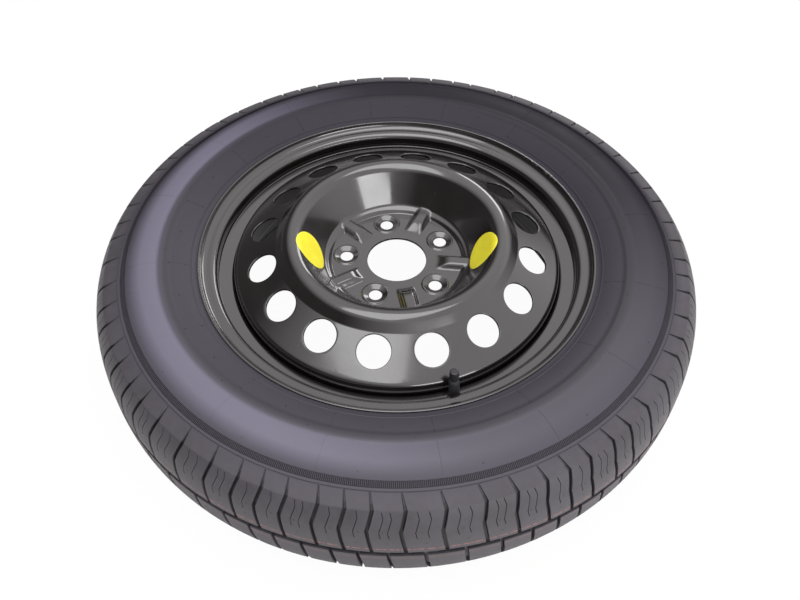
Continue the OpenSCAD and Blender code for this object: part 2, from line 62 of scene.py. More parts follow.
class SpareTyreSizes(bpy.types.PropertyGroup):
    groove_depth: bpy.props.FloatProperty(
        name="Groove depth", description="Depth of the grooves between the tread blocks",
        default=0.0045, min=0.003, max=0.006, precision=4, unit="LENGTH", subtype="DISTANCE")
    groove_width: bpy.props.FloatProperty(
        name="Groove width", description="Width of the cross grooves at the tread's surface",
        default=0.0038, min=0.002, max=0.005, precision=4, unit="LENGTH", subtype="DISTANCE")
    sipe_depth: bpy.props.FloatProperty(
        name="Sipe depth", description="Depth of the thin slits in the blocks",
        default=0.003, min=0.001, max=0.004, precision=4, unit="LENGTH", subtype="DISTANCE")
    sipe_width: bpy.props.FloatProperty(
        name="Sipe width", description="Width of the thin slits in the blocks",
        default=0.0007, min=0.0004, max=0.001, precision=4, unit="LENGTH", subtype="DISTANCE")
    side_ribs: bpy.props.IntProperty(
        name="Sidewall ribs", description="Number of fine ribs in the band under the tread's ridge",
        default=1080, min=360, max=1440)
    mould_lines: bpy.props.IntProperty(
        name="Mould lines", description="Number of radial lines left by the mould's segments",
        default=16, min=4, max=32)
    rubber: bpy.props.FloatVectorProperty(
        name="Rubber", description="Colour of the tyre's rubber, sRGB", subtype="COLOR_GAMMA",
        default=(0.268, 0.256, 0.272), min=0, max=1)
    tread_marks: bpy.props.FloatVectorProperty(
        name="Tread marks", description="Colour of the factory's lines on the tread, sRGB",
        subtype="COLOR_GAMMA", default=(0.66, 0.42, 0.38), min=0, max=1)


class SpareWheelSizes(bpy.types.PropertyGroup):
    sheet_round: bpy.props.FloatProperty(
        name="Vent edge", description="Rounding of the vents' pressed edges",
        default=0.0008, min=0.0003, max=0.0012, precision=4, unit="LENGTH", subtype="DISTANCE")
    weld_ripple: bpy.props.FloatProperty(
        name="Weld ripple", description="Distance between the ripples of the weld beads",
        default=0.0025, min=0.0015, max=0.005, precision=4, unit="LENGTH", subtype="DISTANCE")
    paint: bpy.props.FloatVectorProperty(
        name="Paint", description="Colour of the wheel's paint, sRGB", subtype="COLOR_GAMMA",
        default=(0.062, 0.046, 0.048), min=0, max=1)
    sticker: bpy.props.FloatVectorProperty(
        name="Stickers", description="Colour of the stickers, sRGB", subtype="COLOR_GAMMA",
        default=(0.93, 0.90, 0.22), min=0, max=1)


class SpareValveSizes(bpy.types.PropertyGroup):
    thread_pitch: bpy.props.FloatProperty(
        name="Thread pitch", description="Rise of the stem's thread in one turn",
        default=0.000794, min=0.0005, max=0.001, precision=6, unit="LENGTH", subtype="DISTANCE")
    knurls: bpy.props.IntProperty(
        name="Knurls", description="Number of ribs round the cap", default=24, min=12, max=36)


class SpareStageSizes(bpy.types.PropertyGroup):
    lens: bpy.props.FloatProperty(
        name="Lens", description="Focal length of the camera on a sensor 36 mm wide, in millimetres",
        default=38.777, min=20, max=90)
    key_light: bpy.props.FloatProperty(
        name="Main light", description="Power of the softbox over the wheel, in watts",
        default=18.0, min=0, max=400)
    side_light: bpy.props.FloatProperty(
        name="Side light", description="Power of the softbox on the right, in watts",
        default=4.5, min=0, max=400)
    fill_light: bpy.props.FloatProperty(
        name="Fill light", description="Power of the softbox beside the camera, in watts",
        default=19.0, min=0, max=400)
    surround: bpy.props.FloatProperty(
        name="Surround", description="Strength of the pale room round the wheel",
        default=1.2, min=0, max=2)


# Sections

def direction(degrees):
    return np.array([math.cos(math.radians(degrees)), math.sin(math.radians(degrees))])


def unit(vector):
    return vector / np.hypot(vector[0], vector[1])


def left_of(vector):
    return np.array([-vector[1], vector[0]])


def crossing(start, start_angle, end, end_angle):
    """Where a line through start meets a line through end, each with its angle in degrees."""
    along, back = direction(start_angle), direction(end_angle)
    gap = np.subtract(end, start)
    return np.add(start, along * (gap[0] * back[1] - gap[1] * back[0])
                  / (along[0] * back[1] - along[1] * back[0]))


def bent(corners, step=7.0):
    """The path through the corners [radius, height, bend], with each corner rounded by its bend."""
    path = [np.array(corners[0][:2], float)]
    for before, corner, after in zip(corners, corners[1:], corners[2:]):
        point = np.array(corner[:2], float)
        first, second = unit(point - before[:2]), unit(np.subtract(after[:2], point))
        side = 1 if first[0] * second[1] - first[1] * second[0] > 0 else -1
        angle = math.degrees(math.acos(min(1.0, float(first @ second))))
        if corner[2] == 0:
            path.append(point)
            continue
        start = point - first * corner[2] * math.tan(math.radians(angle / 2))
        middle = start + left_of(first) * side * corner[2]
        steps = max(2, math.ceil(angle / step))
        for k in range(steps + 1):
            a = math.radians(side * angle * k / steps)
            arm = start - middle
            path.append(middle + [arm[0] * math.cos(a) - arm[1] * math.sin(a),
                                  arm[0] * math.sin(a) + arm[1] * math.cos(a)])
    path.append(np.array(corners[-1][:2], float))
    return np.array(path)


def beside(path, distance):
    """The path moved sideways to its left."""
    moves = []
    last = len(path) - 1
    for i in range(last + 1):
        n1 = left_of(unit(path[max(i, 1)] - path[max(i, 1) - 1]))
        n2 = left_of(unit(path[min(i, last - 1) + 1] - path[min(i, last - 1)]))
        n = unit(n1 + n2)
        moves.append(path[i] + n * distance / (n @ n1))
    return np.array(moves)


def supported(path, near=0.5, least=3.0):
    """The path with a point just inside each end of its long straight runs, so that they shade flat."""
    points = [path[0]]
    for a, b in zip(path, path[1:]):
        length = np.hypot(*(b - a))
        if length > least:
            points += [a + (b - a) * near / length, b - (b - a) * near / length]
        points.append(b)
    return np.array(points)


def smooth_least(a, b, soft):
    """The lesser of two heights, with the corner between them rounded."""
    h = np.clip(0.5 + 0.5 * (b - a) / soft, 0, 1)
    return b + (a - b) * h - soft * h * (1 - h)


def smooth_most(a, b, soft):
    return -smooth_least(-a, -b, soft)


# Mesh shells

class Shell:
    """Points in millimetres and the faces between them."""

    def __init__(self):
        self.points, self.faces, self.count = [], [], 0

    def add(self, points):
        points = np.asarray(points, float).reshape(-1, 3)
        self.points.append(points)
        self.count += len(points)
        return np.arange(self.count - len(points), self.count)

    def ring(self, radius, height, angles):
        flat = 0 * angles
        return self.add(np.stack([(radius + flat) * np.cos(angles), (radius + flat) * np.sin(angles),
                                  height + flat], 1))

    def band(self, low, high, closed=True):
        """Quads between two rows with the same number of points."""
        i = np.arange(len(low) if closed else len(low) - 1)
        j = (i + 1) % len(low)
        self.faces.extend(np.stack([low[i], low[j], high[j], high[i]], 1).tolist())

    def bands(self, rows, closed=True):
        for low, high in zip(rows, rows[1:]):
            self.band(low, high, closed)

    def zipper(self, low, high, low_angles, high_angles):
        """Triangles between two closed rows with different numbers of points."""
        offset = (high_angles - low_angles[0] + math.pi) % FULL_TURN - math.pi
        first = int(np.argmin(np.abs(offset)))
        high = np.roll(high, -first)
        high_angles = np.unwrap(np.roll(high_angles, -first))
        high_angles += round((low_angles[0] - high_angles[0]) / FULL_TURN) * FULL_TURN
        la, ha = (np.append(low_angles, low_angles[0] + FULL_TURN),
                  np.append(high_angles, high_angles[0] + FULL_TURN))
        n, m = len(low), len(high)
        i = j = 0
        while i < n or j < m:
            if j == m or (i < n and la[i] + la[i + 1] <= ha[j] + ha[j + 1]):
                self.faces.append([int(low[i]), int(low[(i + 1) % n]), int(high[j % m])])
                i += 1
            else:
                self.faces.append([int(low[i % n]), int(high[(j + 1) % m]), int(high[j])])
                j += 1

    def lid(self, row, centre):
        """Closes a row of points with a fan to one middle point."""
        middle = int(self.add([centre])[0])
        self.faces.extend([[int(a), int(b), middle] for a, b in zip(row, np.roll(row, -1))])

    def lathe(self, path, columns, closed=True):
        """A closed section turned round the axis."""
        angles = np.arange(columns) * FULL_TURN / columns
        rows = [self.ring(r, z, angles) for r, z in path]
        self.bands(rows + rows[:1] if closed else rows)
        return rows


def round_angles(count, start=0.0):
    return start + np.arange(count) * FULL_TURN / count


def mesh_from(name, shell, place=None, sharp=35.0):
    """Makes the mesh in metres: heights from the middle plane, or in the valve's own frame."""
    points = np.concatenate(shell.points)
    mesh = bpy.data.meshes.new(name)
    if place is None:
        points = points + [0, 0, MIDDLE]
    mesh.from_pydata((points * MM).tolist(), [], shell.faces)
    if place is not None:
        mesh.transform(place)
    clean = bmesh.new()
    clean.from_mesh(mesh)
    bmesh.ops.remove_doubles(clean, verts=clean.verts, dist=2e-6)
    bmesh.ops.recalc_face_normals(clean, faces=clean.faces)
    clean.to_mesh(mesh)
    clean.free()
    mesh.polygons.foreach_set("use_smooth", [True] * len(mesh.polygons))
    mesh.set_sharp_from_angle(angle=math.radians(sharp))
    return mesh


def put_piece(context, name, mesh, material, nodes=(), body="wheel"):
    """Adds a finished mesh as a piece that rides on its body."""
    if mesh.materials:
        mesh.materials[0] = material
    else:
        mesh.materials.append(material)
    piece = bpy.data.objects.new(name, mesh)
    context.scene.collection.objects.link(piece)
    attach(piece, body)
    if nodes:
        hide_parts(*nodes)
    return piece


# Node helpers

def linear(colour):
    """Linear colour of an sRGB hex value or of sRGB parts from 0 to 1."""
    if isinstance(colour, str):
        colour = [int(colour[i:i + 2], 16) / 255 for i in (1, 3, 5)]
    return [c / 12.92 if c <= 0.04045 else ((c + 0.055) / 1.055) ** 2.4 for c in colour] + [1.0]


def add_node(tree, kind, values=None, links=None, **settings):
    """Adds a node, sets its settings and its sockets' values, and links its sockets."""
    node = tree.nodes.new(kind)
    for name, value in settings.items():
        setattr(node, name, value)
    for name, value in (values or {}).items():
        node.inputs[name].default_value = value
    for name, source in (links or {}).items():
        if isinstance(source, tuple):
            tree.links.new(source[0].outputs[source[1]], node.inputs[name])
        else:
            tree.links.new(source.outputs[0], node.inputs[name])
    return node


def new_material(name):
    material = bpy.data.materials.new(name)
    material.use_nodes = True
    tree = material.node_tree
    tree.nodes.clear()
    output = tree.nodes.new("ShaderNodeOutputMaterial")
    shader = tree.nodes.new("ShaderNodeBsdfPrincipled")
    tree.links.new(shader.outputs[0], output.inputs[0])
    coords = tree.nodes.new("ShaderNodeTexCoord")
    return material, tree, shader, (coords, "Object")


def math_node(tree, operation, first, second=None, third=None, clamp=False):
    """A Math node whose inputs are numbers or other nodes."""
    values, links = {}, {}
    for i, item in enumerate((first, second, third)):
        if item is None:
            continue
        if isinstance(item, (int, float)):
            values[i] = float(item)
        else:
            links[i] = item
    return add_node(tree, "ShaderNodeMath", values, links, operation=operation, use_clamp=clamp)


def mixed(tree, share, first, second):
    """A colour between two colours, by a node that gives the share of the second."""
    values, links = {}, {}
    for i, item in ((6, first), (7, second)):
        if isinstance(item, list):
            values[i] = item
        else:
            links[i] = item
    links[0] = share
    node = add_node(tree, "ShaderNodeMix", values, links, data_type="RGBA")
    return (node, 2)


def spread(tree, source, low, high, to_low=0.0, to_high=1.0):
    """A value spread from one range to another, and held at its ends."""
    return add_node(tree, "ShaderNodeMapRange", {1: low, 2: high, 3: to_low, 4: to_high}, {0: source})


# Materials

# Where the rubber's colour changes, with its painted light and shade, in metres from the axle: each pair is
# where a change starts and ends
SHOULDER_FADE = (0.3120, 0.2970)
PAINTED_HIGHLIGHT_IN = (0.2520, 0.2630)
PAINTED_HIGHLIGHT_OUT = (0.2935, 0.2790)
BESIDE_RIM = (0.2610, 0.2520)
SMOOTH_RING = (0.2490, 0.2592)
RIBBED_BAND = (0.2953, 0.3010)
TREAD_FROM = 0.3080
# Half of the width that the cross grooves take up, in metres from the middle plane
GROOVED_HALF = 0.0560
# The painted lines on the tread: their heights over the middle plane and half their widths, in metres
DASHED_LINE, DASHED_HALF, DASH_STEP = 0.0121, 0.00062, 0.0113
FAINT_LINE, FAINT_HALF = -0.0062, 0.00045
# The worn spot on the flange's edge, in metres
RUB_PLACE = (0.172, 0.132, 0.0255)
RUB_FROM_Z = 0.0235


def share_across(tree, x, y, along_x, along_y):
    """Share from 0 to 1 across the tyre, in the direction given by the two weights per metre."""
    way = math_node(tree, "ADD", math_node(tree, "MULTIPLY", x, along_x),
                    math_node(tree, "MULTIPLY", y, along_y))
    return add_node(tree, "ShaderNodeMapRange", {1: -0.62, 2: 0.62, 3: 0.0, 4: 1.0}, {0: way},
                    interpolation_type="SMOOTHSTEP")


def vulcanised_rubber(sizes):
    """Tyre rubber, vulcanised in a polished mould: satin, dark grey with a bluish bloom in soft clouds,
    fine grain, and the factory's thin lines on the tread; with painted light and shade on the sidewall, a
    painted highlight belt on its left, and painted shade in the grooves and between the ribs."""
    material, tree, shader, coords = new_material("vulcanised_tyre_rubber")
    parts = add_node(tree, "ShaderNodeSeparateXYZ", links={0: coords})
    x, y, z = (parts, 0), (parts, 1), (parts, 2)
    radius = math_node(tree, "SQRT", math_node(
        tree, "ADD", math_node(tree, "MULTIPLY", x, x), math_node(tree, "MULTIPLY", y, y)))
    height = math_node(tree, "SUBTRACT", z, MIDDLE * MM)
    # bloom in clouds about 45 mm across, and finer mottling of 7 mm
    clouds = add_node(tree, "ShaderNodeTexNoise", {"Scale": 22.0, "Detail": 4.0, "Roughness": 0.6},
                      {"Vector": coords})
    mottle = add_node(tree, "ShaderNodeTexNoise", {"Scale": 140.0, "Detail": 3.0, "Roughness": 0.55},
                      {"Vector": coords})
    grain = add_node(tree, "ShaderNodeTexNoise", {"Scale": 1500.0, "Detail": 2.0}, {"Vector": coords})
    bloom = math_node(tree, "ADD", math_node(tree, "MULTIPLY", clouds, 0.65),
                      math_node(tree, "MULTIPLY", mottle, 0.35))
    base = linear(tuple(sizes.rubber))
    dark = [c * 0.80 for c in base[:3]] + [1.0]
    light = [base[0] * 1.16, base[1] * 1.17, base[2] * 1.25, 1.0]
    colour = mixed(tree, spread(tree, bloom, 0.32, 0.68), dark, light)
    side = spread(tree, radius, *SHOULDER_FADE)
    # painted light and shade: the sidewall is painted lighter and bluer at the front and the left, where the
    # lamps' sheen falls, and darker at the back and the right
    painted_light_side = share_across(tree, x, y, -0.5, -2.5)
    left = share_across(tree, x, y, -3.0, -0.9)
    painted_light_colour = mixed(tree, painted_light_side, [base[0] * 0.10, base[1] * 0.10, base[2] * 0.15, 1.0],
                  [base[0] * 1.12, base[1] * 1.12, base[2] * 1.28, 1.0])
    colour = mixed(tree, math_node(tree, "MULTIPLY", side, 0.85), colour, painted_light_colour)
    # painted highlight: a bright bluish belt on the sidewall's left side, where a lamp's sheen falls
    painted_highlight_belt = math_node(tree, "MULTIPLY", spread(tree, radius, *PAINTED_HIGHLIGHT_IN),
                     spread(tree, radius, *PAINTED_HIGHLIGHT_OUT))
    painted_highlight_belt = math_node(tree, "MULTIPLY", painted_highlight_belt, math_node(tree, "POWER", left, 2.6))
    colour = mixed(tree, math_node(tree, "MULTIPLY", painted_highlight_belt, 0.9), colour,
                   [base[0] * 2.4, base[1] * 2.45, base[2] * 2.95, 1.0])
    # the zone beside the rim has an even tone all round
    beside_rim = spread(tree, radius, *BESIDE_RIM)
    colour = mixed(tree, math_node(tree, "MULTIPLY", beside_rim, 0.85), colour,
                   [base[0] * 0.60, base[1] * 0.60, base[2] * 0.70, 1.0])
    # painted shade: the ribbed band's floor is painted dark between its ribs
    arc = math_node(tree, "SQRT", math_node(
        tree, "ADD", math_node(tree, "POWER", math_node(tree, "SUBTRACT", radius, WIDE_R * MM), 2.0),
        math_node(tree, "POWER", math_node(tree, "SUBTRACT", math_node(tree, "ABSOLUTE", height),
                                           (HALF_W - UPPER_CURVE) * MM), 2.0)))
    band = math_node(tree, "MULTIPLY", math_node(tree, "GREATER_THAN", radius, RIBBED_BAND[0]),
                     math_node(tree, "LESS_THAN", radius, RIBBED_BAND[1]))
    band = math_node(tree, "MULTIPLY", band, math_node(tree, "LESS_THAN", arc, (UPPER_CURVE - 0.25) * MM))
    colour = mixed(tree, math_node(tree, "MULTIPLY", band, 0.85), colour,
                   [c * 0.10 for c in base[:3]] + [1.0])
    # smooth ring on the sidewall, a little darker
    ring = math_node(tree, "MULTIPLY", math_node(tree, "GREATER_THAN", radius, SMOOTH_RING[0]),
                     math_node(tree, "LESS_THAN", radius, SMOOTH_RING[1]))
    colour = mixed(tree, math_node(tree, "MULTIPLY", ring, 0.25), colour, [c * 0.5 for c in base[:3]] + [1.0])
    # painted shade: the floors of the grooves are painted darker, more with depth
    surface = math_node(tree, "ADD", 0.275, math_node(tree, "MULTIPLY", 0.0605, math_node(
        tree, "SQRT", math_node(tree, "MAXIMUM", 0.0, math_node(
            tree, "SUBTRACT", 1.0, math_node(tree, "POWER", math_node(
                tree, "DIVIDE", math_node(tree, "ABSOLUTE", height), 0.0735), 3.0))))))
    depth = math_node(tree, "SUBTRACT", surface, radius)
    outer = math_node(tree, "GREATER_THAN", radius, TREAD_FROM)
    on_top = math_node(tree, "LESS_THAN", depth, 0.00025)
    sunk = math_node(tree, "MULTIPLY", spread(tree, depth, 0.0006, 0.0026),
                     math_node(tree, "LESS_THAN", math_node(tree, "ABSOLUTE", height), GROOVED_HALF))
    colour = mixed(tree, math_node(tree, "MULTIPLY", math_node(tree, "MULTIPLY", sunk, outer), 0.72),
                   colour, [c * 0.30 for c in base[:3]] + [1.0])
    # thin painted lines: one in dashes about 11 mm long, one fainter
    turn = math_node(tree, "ARCTAN2", y, x)
    dash = math_node(tree, "FRACT", math_node(tree, "MULTIPLY", turn, 0.335 / DASH_STEP))
    dashed = math_node(tree, "LESS_THAN", dash, 0.84)
    line = math_node(tree, "LESS_THAN", math_node(
        tree, "ABSOLUTE", math_node(tree, "SUBTRACT", height, DASHED_LINE)), DASHED_HALF)
    faint = math_node(tree, "LESS_THAN", math_node(
        tree, "ABSOLUTE", math_node(tree, "SUBTRACT", height, FAINT_LINE)), FAINT_HALF)
    worn = spread(tree, add_node(tree, "ShaderNodeTexNoise", {"Scale": 420.0, "Detail": 2.0},
                                 {"Vector": coords}), 0.30, 0.62)
    marks = math_node(tree, "ADD", math_node(tree, "MULTIPLY", line, dashed),
                      math_node(tree, "MULTIPLY", faint, 0.55), clamp=True)
    marks = math_node(tree, "MULTIPLY", math_node(tree, "MULTIPLY", marks, on_top), worn)
    colour = mixed(tree, marks, colour, linear(tuple(sizes.tread_marks)))
    tree.links.new(colour[0].outputs[colour[1]], shader.inputs["Base Color"])
    rough = spread(tree, bloom, 0.3, 0.7, 0.46, 0.58)
    tree.links.new(rough.outputs[0], shader.inputs["Roughness"])
    relief = math_node(tree, "ADD", math_node(tree, "MULTIPLY", grain, 0.25), mottle)
    bump = add_node(tree, "ShaderNodeBump", {"Strength": 0.22, "Distance": 0.0004}, {"Height": relief})
    tree.links.new(bump.outputs[0], shader.inputs["Normal"])
    shader.inputs["IOR"].default_value = 1.40
    # the bloom dulls the sheen: most at the back and where the shoulder turns down
    dull = math_node(tree, "ADD", spread(tree, painted_light_side, 0.75, 0.15, 0.0, 0.62),
                     spread(tree, radius, 0.2780, 0.2960, 0.0, 0.42), clamp=True)
    sheen = math_node(tree, "SUBTRACT", 0.5,
                      math_node(tree, "MULTIPLY", math_node(tree, "MULTIPLY", dull, side), 0.5))
    tree.links.new(sheen.outputs[0], shader.inputs["Specular IOR Level"])
    return material


def stoved_black_paint(sizes, name="stoved_gloss_black_paint"):
    """Electrocoat and stoved gloss enamel on pressed steel: near black, mirror-like with a slight orange
    peel, and specks of dust with a few rubs on the flange."""
    material, tree, shader, coords = new_material(name)
    parts = add_node(tree, "ShaderNodeSeparateXYZ", links={0: coords})
    base = linear(tuple(sizes.paint))
    cloud = add_node(tree, "ShaderNodeTexNoise", {"Scale": 30.0, "Detail": 3.0}, {"Vector": coords})
    colour = mixed(tree, spread(tree, cloud, 0.35, 0.7), base, [c * 1.5 for c in base[:3]] + [1.0])
    # dust specks 0.3 to 0.6 mm across, thinly scattered
    specks = add_node(tree, "ShaderNodeTexVoronoi", {"Scale": 170.0}, {"Vector": coords})
    chosen = math_node(tree, "GREATER_THAN", add_node(
        tree, "ShaderNodeTexNoise", {"Scale": 95.0, "Detail": 1.0}, {"Vector": coords}), 0.66)
    dots = math_node(tree, "MULTIPLY", math_node(tree, "LESS_THAN", specks, 0.055), chosen)
    colour = mixed(tree, math_node(tree, "MULTIPLY", dots, 0.55), colour, linear("#8C8884"))
    # rubs on the flange's edge, at the back on the right
    place = add_node(tree, "ShaderNodeVectorMath", {1: RUB_PLACE}, {0: coords},
                     operation="DISTANCE")
    near = spread(tree, (place, "Value"), 0.034, 0.012)
    scratch = add_node(tree, "ShaderNodeTexNoise", {"Scale": 260.0, "Detail": 4.0, "Roughness": 0.7},
                       {"Vector": coords})
    rub = math_node(tree, "MULTIPLY", math_node(tree, "MULTIPLY", near, spread(tree, scratch, 0.54, 0.60)),
                    math_node(tree, "GREATER_THAN", (parts, 2), RUB_FROM_Z))
    colour = mixed(tree, math_node(tree, "MULTIPLY", rub, 0.6), colour, linear("#A7A5A3"))
    tree.links.new(colour[0].outputs[colour[1]], shader.inputs["Base Color"])
    haze = spread(tree, cloud, 0.35, 0.75, 0.13, 0.24)
    rough = math_node(tree, "ADD", haze, math_node(tree, "MULTIPLY", rub, 0.4), clamp=True)
    tree.links.new(rough.outputs[0], shader.inputs["Roughness"])
    # orange peel with waves of about 2.5 mm, and slow waves of the pressed sheet
    peel = add_node(tree, "ShaderNodeTexNoise", {"Scale": 400.0, "Detail": 1.0}, {"Vector": coords})
    wave = add_node(tree, "ShaderNodeTexNoise", {"Scale": 45.0, "Detail": 1.0}, {"Vector": coords})
    relief = math_node(tree, "ADD", math_node(tree, "MULTIPLY", peel, 0.16), wave)
    bump = add_node(tree, "ShaderNodeBump", {"Strength": 0.10, "Distance": 0.0010}, {"Height": relief})
    tree.links.new(bump.outputs[0], shader.inputs["Normal"])
    shader.inputs["IOR"].default_value = 1.62
    shader.inputs["Coat Weight"].default_value = 1.0
    shader.inputs["Coat Roughness"].default_value = 0.09
    return material


def moulded_rubber(name, colour, roughness=0.62, grain_mm=0.5):
    """Moulded rubber: matte, with a fine grain from the mould and a soft unevenness of tone."""
    material, tree, shader, coords = new_material(name)
    base = linear(colour)
    tone = add_node(tree, "ShaderNodeTexNoise", {"Scale": 180.0, "Detail": 3.0}, {"Vector": coords})
    shade = mixed(tree, spread(tree, tone, 0.35, 0.65), [c * 0.8 for c in base[:3]] + [1.0],
                  [c * 1.2 for c in base[:3]] + [1.0])
    tree.links.new(shade[0].outputs[shade[1]], shader.inputs["Base Color"])
    rough = spread(tree, tone, 0.3, 0.7, roughness - 0.07, roughness + 0.07)
    tree.links.new(rough.outputs[0], shader.inputs["Roughness"])
    grain = add_node(tree, "ShaderNodeTexNoise", {"Scale": 1000.0 / grain_mm, "Detail": 2.0},
                     {"Vector": coords})
    bump = add_node(tree, "ShaderNodeBump", {"Strength": 0.2, "Distance": 0.0001}, {"Height": grain})
    tree.links.new(bump.outputs[0], shader.inputs["Normal"])
    return material


def moulded_polyamide():
    """Black glass-filled polyamide, injection moulded: satin, with the faint fleck of the fibres."""
    material, tree, shader, coords = new_material("moulded_polyamide_cap")
    fleck = add_node(tree, "ShaderNodeTexNoise", {"Scale": 2600.0, "Detail": 2.0, "Roughness": 0.6},
                     {"Vector": coords})
    shade = mixed(tree, spread(tree, fleck, 0.45, 0.75), linear("#1A1A1D"), linear("#37373B"))
    tree.links.new(shade[0].outputs[shade[1]], shader.inputs["Base Color"])
    rough = spread(tree, fleck, 0.3, 0.7, 0.30, 0.44)
    tree.links.new(rough.outputs[0], shader.inputs["Roughness"])
    bump = add_node(tree, "ShaderNodeBump", {"Strength": 0.12, "Distance": 0.0001}, {"Height": fleck})
    tree.links.new(bump.outputs[0], shader.inputs["Normal"])
    shader.inputs["IOR"].default_value = 1.53
    return material


def turned_metal(name, light, dark, roughness, pitch_mm):
    """Turned or drawn metal: bright, with the fine rings that the tool leaves round the axis."""
    material, tree, shader, coords = new_material(name)
    rings = add_node(tree, "ShaderNodeTexWave",
                     {"Scale": 1000.0 / pitch_mm / 20.0, "Distortion": 0.6, "Detail": 2.0},
                     {"Vector": coords}, wave_type="BANDS", bands_direction="Z")
    tarnish = add_node(tree, "ShaderNodeTexNoise", {"Scale": 350.0, "Detail": 3.0}, {"Vector": coords})
    shade = mixed(tree, spread(tree, tarnish, 0.35, 0.7), linear(light), linear(dark))
    tree.links.new(shade[0].outputs[shade[1]], shader.inputs["Base Color"])
    rough = spread(tree, tarnish, 0.3, 0.7, roughness, roughness + 0.14)
    tree.links.new(rough.outputs[0], shader.inputs["Roughness"])
    bump = add_node(tree, "ShaderNodeBump", {"Strength": 0.15, "Distance": 0.00005},
                    {"Height": (rings, "Fac")})
    tree.links.new(bump.outputs[0], shader.inputs["Normal"])
    shader.inputs["Metallic"].default_value = 1.0
    return material


def printed_vinyl(sizes):
    """Yellow vinyl film, calendered and self-adhesive: even colour, soft gloss, very slight ripples."""
    material, tree, shader, coords = new_material("yellow_vinyl_sticker")
    base = linear(tuple(sizes.sticker))
    tone = add_node(tree, "ShaderNodeTexNoise", {"Scale": 60.0, "Detail": 3.0}, {"Vector": coords})
    shade = mixed(tree, spread(tree, tone, 0.3, 0.7), base,
                  [base[0] * 0.9, base[1] * 0.84, base[2] * 0.8, 1.0])
    tree.links.new(shade[0].outputs[shade[1]], shader.inputs["Base Color"])
    rough = spread(tree, tone, 0.3, 0.7, 0.34, 0.46)
    tree.links.new(rough.outputs[0], shader.inputs["Roughness"])
    ripple = add_node(tree, "ShaderNodeTexNoise", {"Scale": 130.0, "Detail": 2.0}, {"Vector": coords})
    bump = add_node(tree, "ShaderNodeBump", {"Strength": 0.12, "Distance": 0.0004}, {"Height": ripple})
    tree.links.new(bump.outputs[0], shader.inputs["Normal"])
    return material


# Tyre

TYRE_R, CROWN_DROP, CROWN_REACH = 335.5, 60.5, 73.5
CROWN_BASE = TYRE_R - CROWN_DROP
SHOULDER_Z, RIDGE_R, WIDE_R, HALF_W = 56.3, 302.3, 267.0, 71.8
UPPER_CURVE, LOWER_CURVE, INNER_CURVE = 70.3, 85.0, 120.0
SIDEWALL_T, CROWN_T = 7.5, 13.0
CROWN_GROOVE_Z, CROWN_GROOVE_W = 2.5, 7.5
FIRST_GROOVE = -88.2
BLOCK_MIX = "LLMMSSMSMLLSMLSSMMLSMLMSSLMMSLSMMLLSMSSMLMSLMSMLMSLLMSMSMSMLLMSSMSSM"
BLOCK_SIZE = {"S": 1.0, "M": 1.23, "L": 1.5}
SIPES = {"S": (0.42,), "M": (0.285, 0.535), "L": (0.283, 0.575)}
NUBS = {"S": (0.53, 0.45), "M": (0.33, 0.45), "L": (0.37, 0.49)}
KINK_Z = 38.0
RIM_D, RIM_W, FLANGE_H, FLANGE_CURL, RIM_T = 405.6, 101.6, 17.0, 9.4, 2.3
SEAT_R, FLANGE_Z, SEAT_TAPER = RIM_D / 2, RIM_W / 2, 5.0
LIP_R = SEAT_R + FLANGE_H


def tread_radius(z):
    return CROWN_BASE + CROWN_DROP * np.sqrt(1 - (np.abs(z) / CROWN_REACH) ** 3)


def upper_z(r):
    return HALF_W - UPPER_CURVE + math.sqrt(UPPER_CURVE ** 2 - (r - WIDE_R) ** 2)


def lower_z(r):
    return HALF_W - LOWER_CURVE + math.sqrt(LOWER_CURVE ** 2 - (r - WIDE_R) ** 2)


def block_places(half):
    """Angle where each block starts, in degrees, and its letter, on one half of the tread."""
    sizes = [BLOCK_SIZE[letter] for letter in BLOCK_MIX]
    share = 360.0 / sum(sizes)
    starts = [FIRST_GROOVE + share * sum(sizes[:i]) for i in range(len(sizes))]
    if half < 0:
        starts = [start + share * size / 2 for start, size in zip(starts, sizes)]
    return starts, list(BLOCK_MIX)


def tread_columns(half):
    """Columns of the tread's grid: angle, kind (0 block, 1 groove floor, 2 sipe floor, 3 groove edge, 4 sipe
    edge), side of the groove or sipe, and how far the column follows the sipes rather than the grooves."""
    starts, letters = block_places(half)
    ends = starts[1:] + [starts[0] + 360]
    rows = []
    for start, end, letter in zip(starts, ends, letters):
        rows += [(start, 3, -1, 0), (start, 1, -1, 0), (start, 1, 1, 0), (start, 3, 1, 0)]
        marks = [(start, 0)] + [(start + share * (end - start), 1) for share in SIPES[letter]] + [(end, 0)]
        for (a, wa), (b, wb) in zip(marks, marks[1:]):
            fill = int((b - a) * math.pi / 180 * 320 / 6.5)
            rows += [(a + (b - a) * k / (fill + 1), 0, 0, wa + (wb - wa) * k / (fill + 1))
                     for k in range(1, fill + 1)]
            if wb:
                rows += [(b, 4, -1, 1), (b, 2, 0, 1), (b, 4, 1, 1)]
    table = np.array(rows, float)
    return np.radians(table[:, 0]), table[:, 1].astype(int), table[:, 2], table[:, 3]


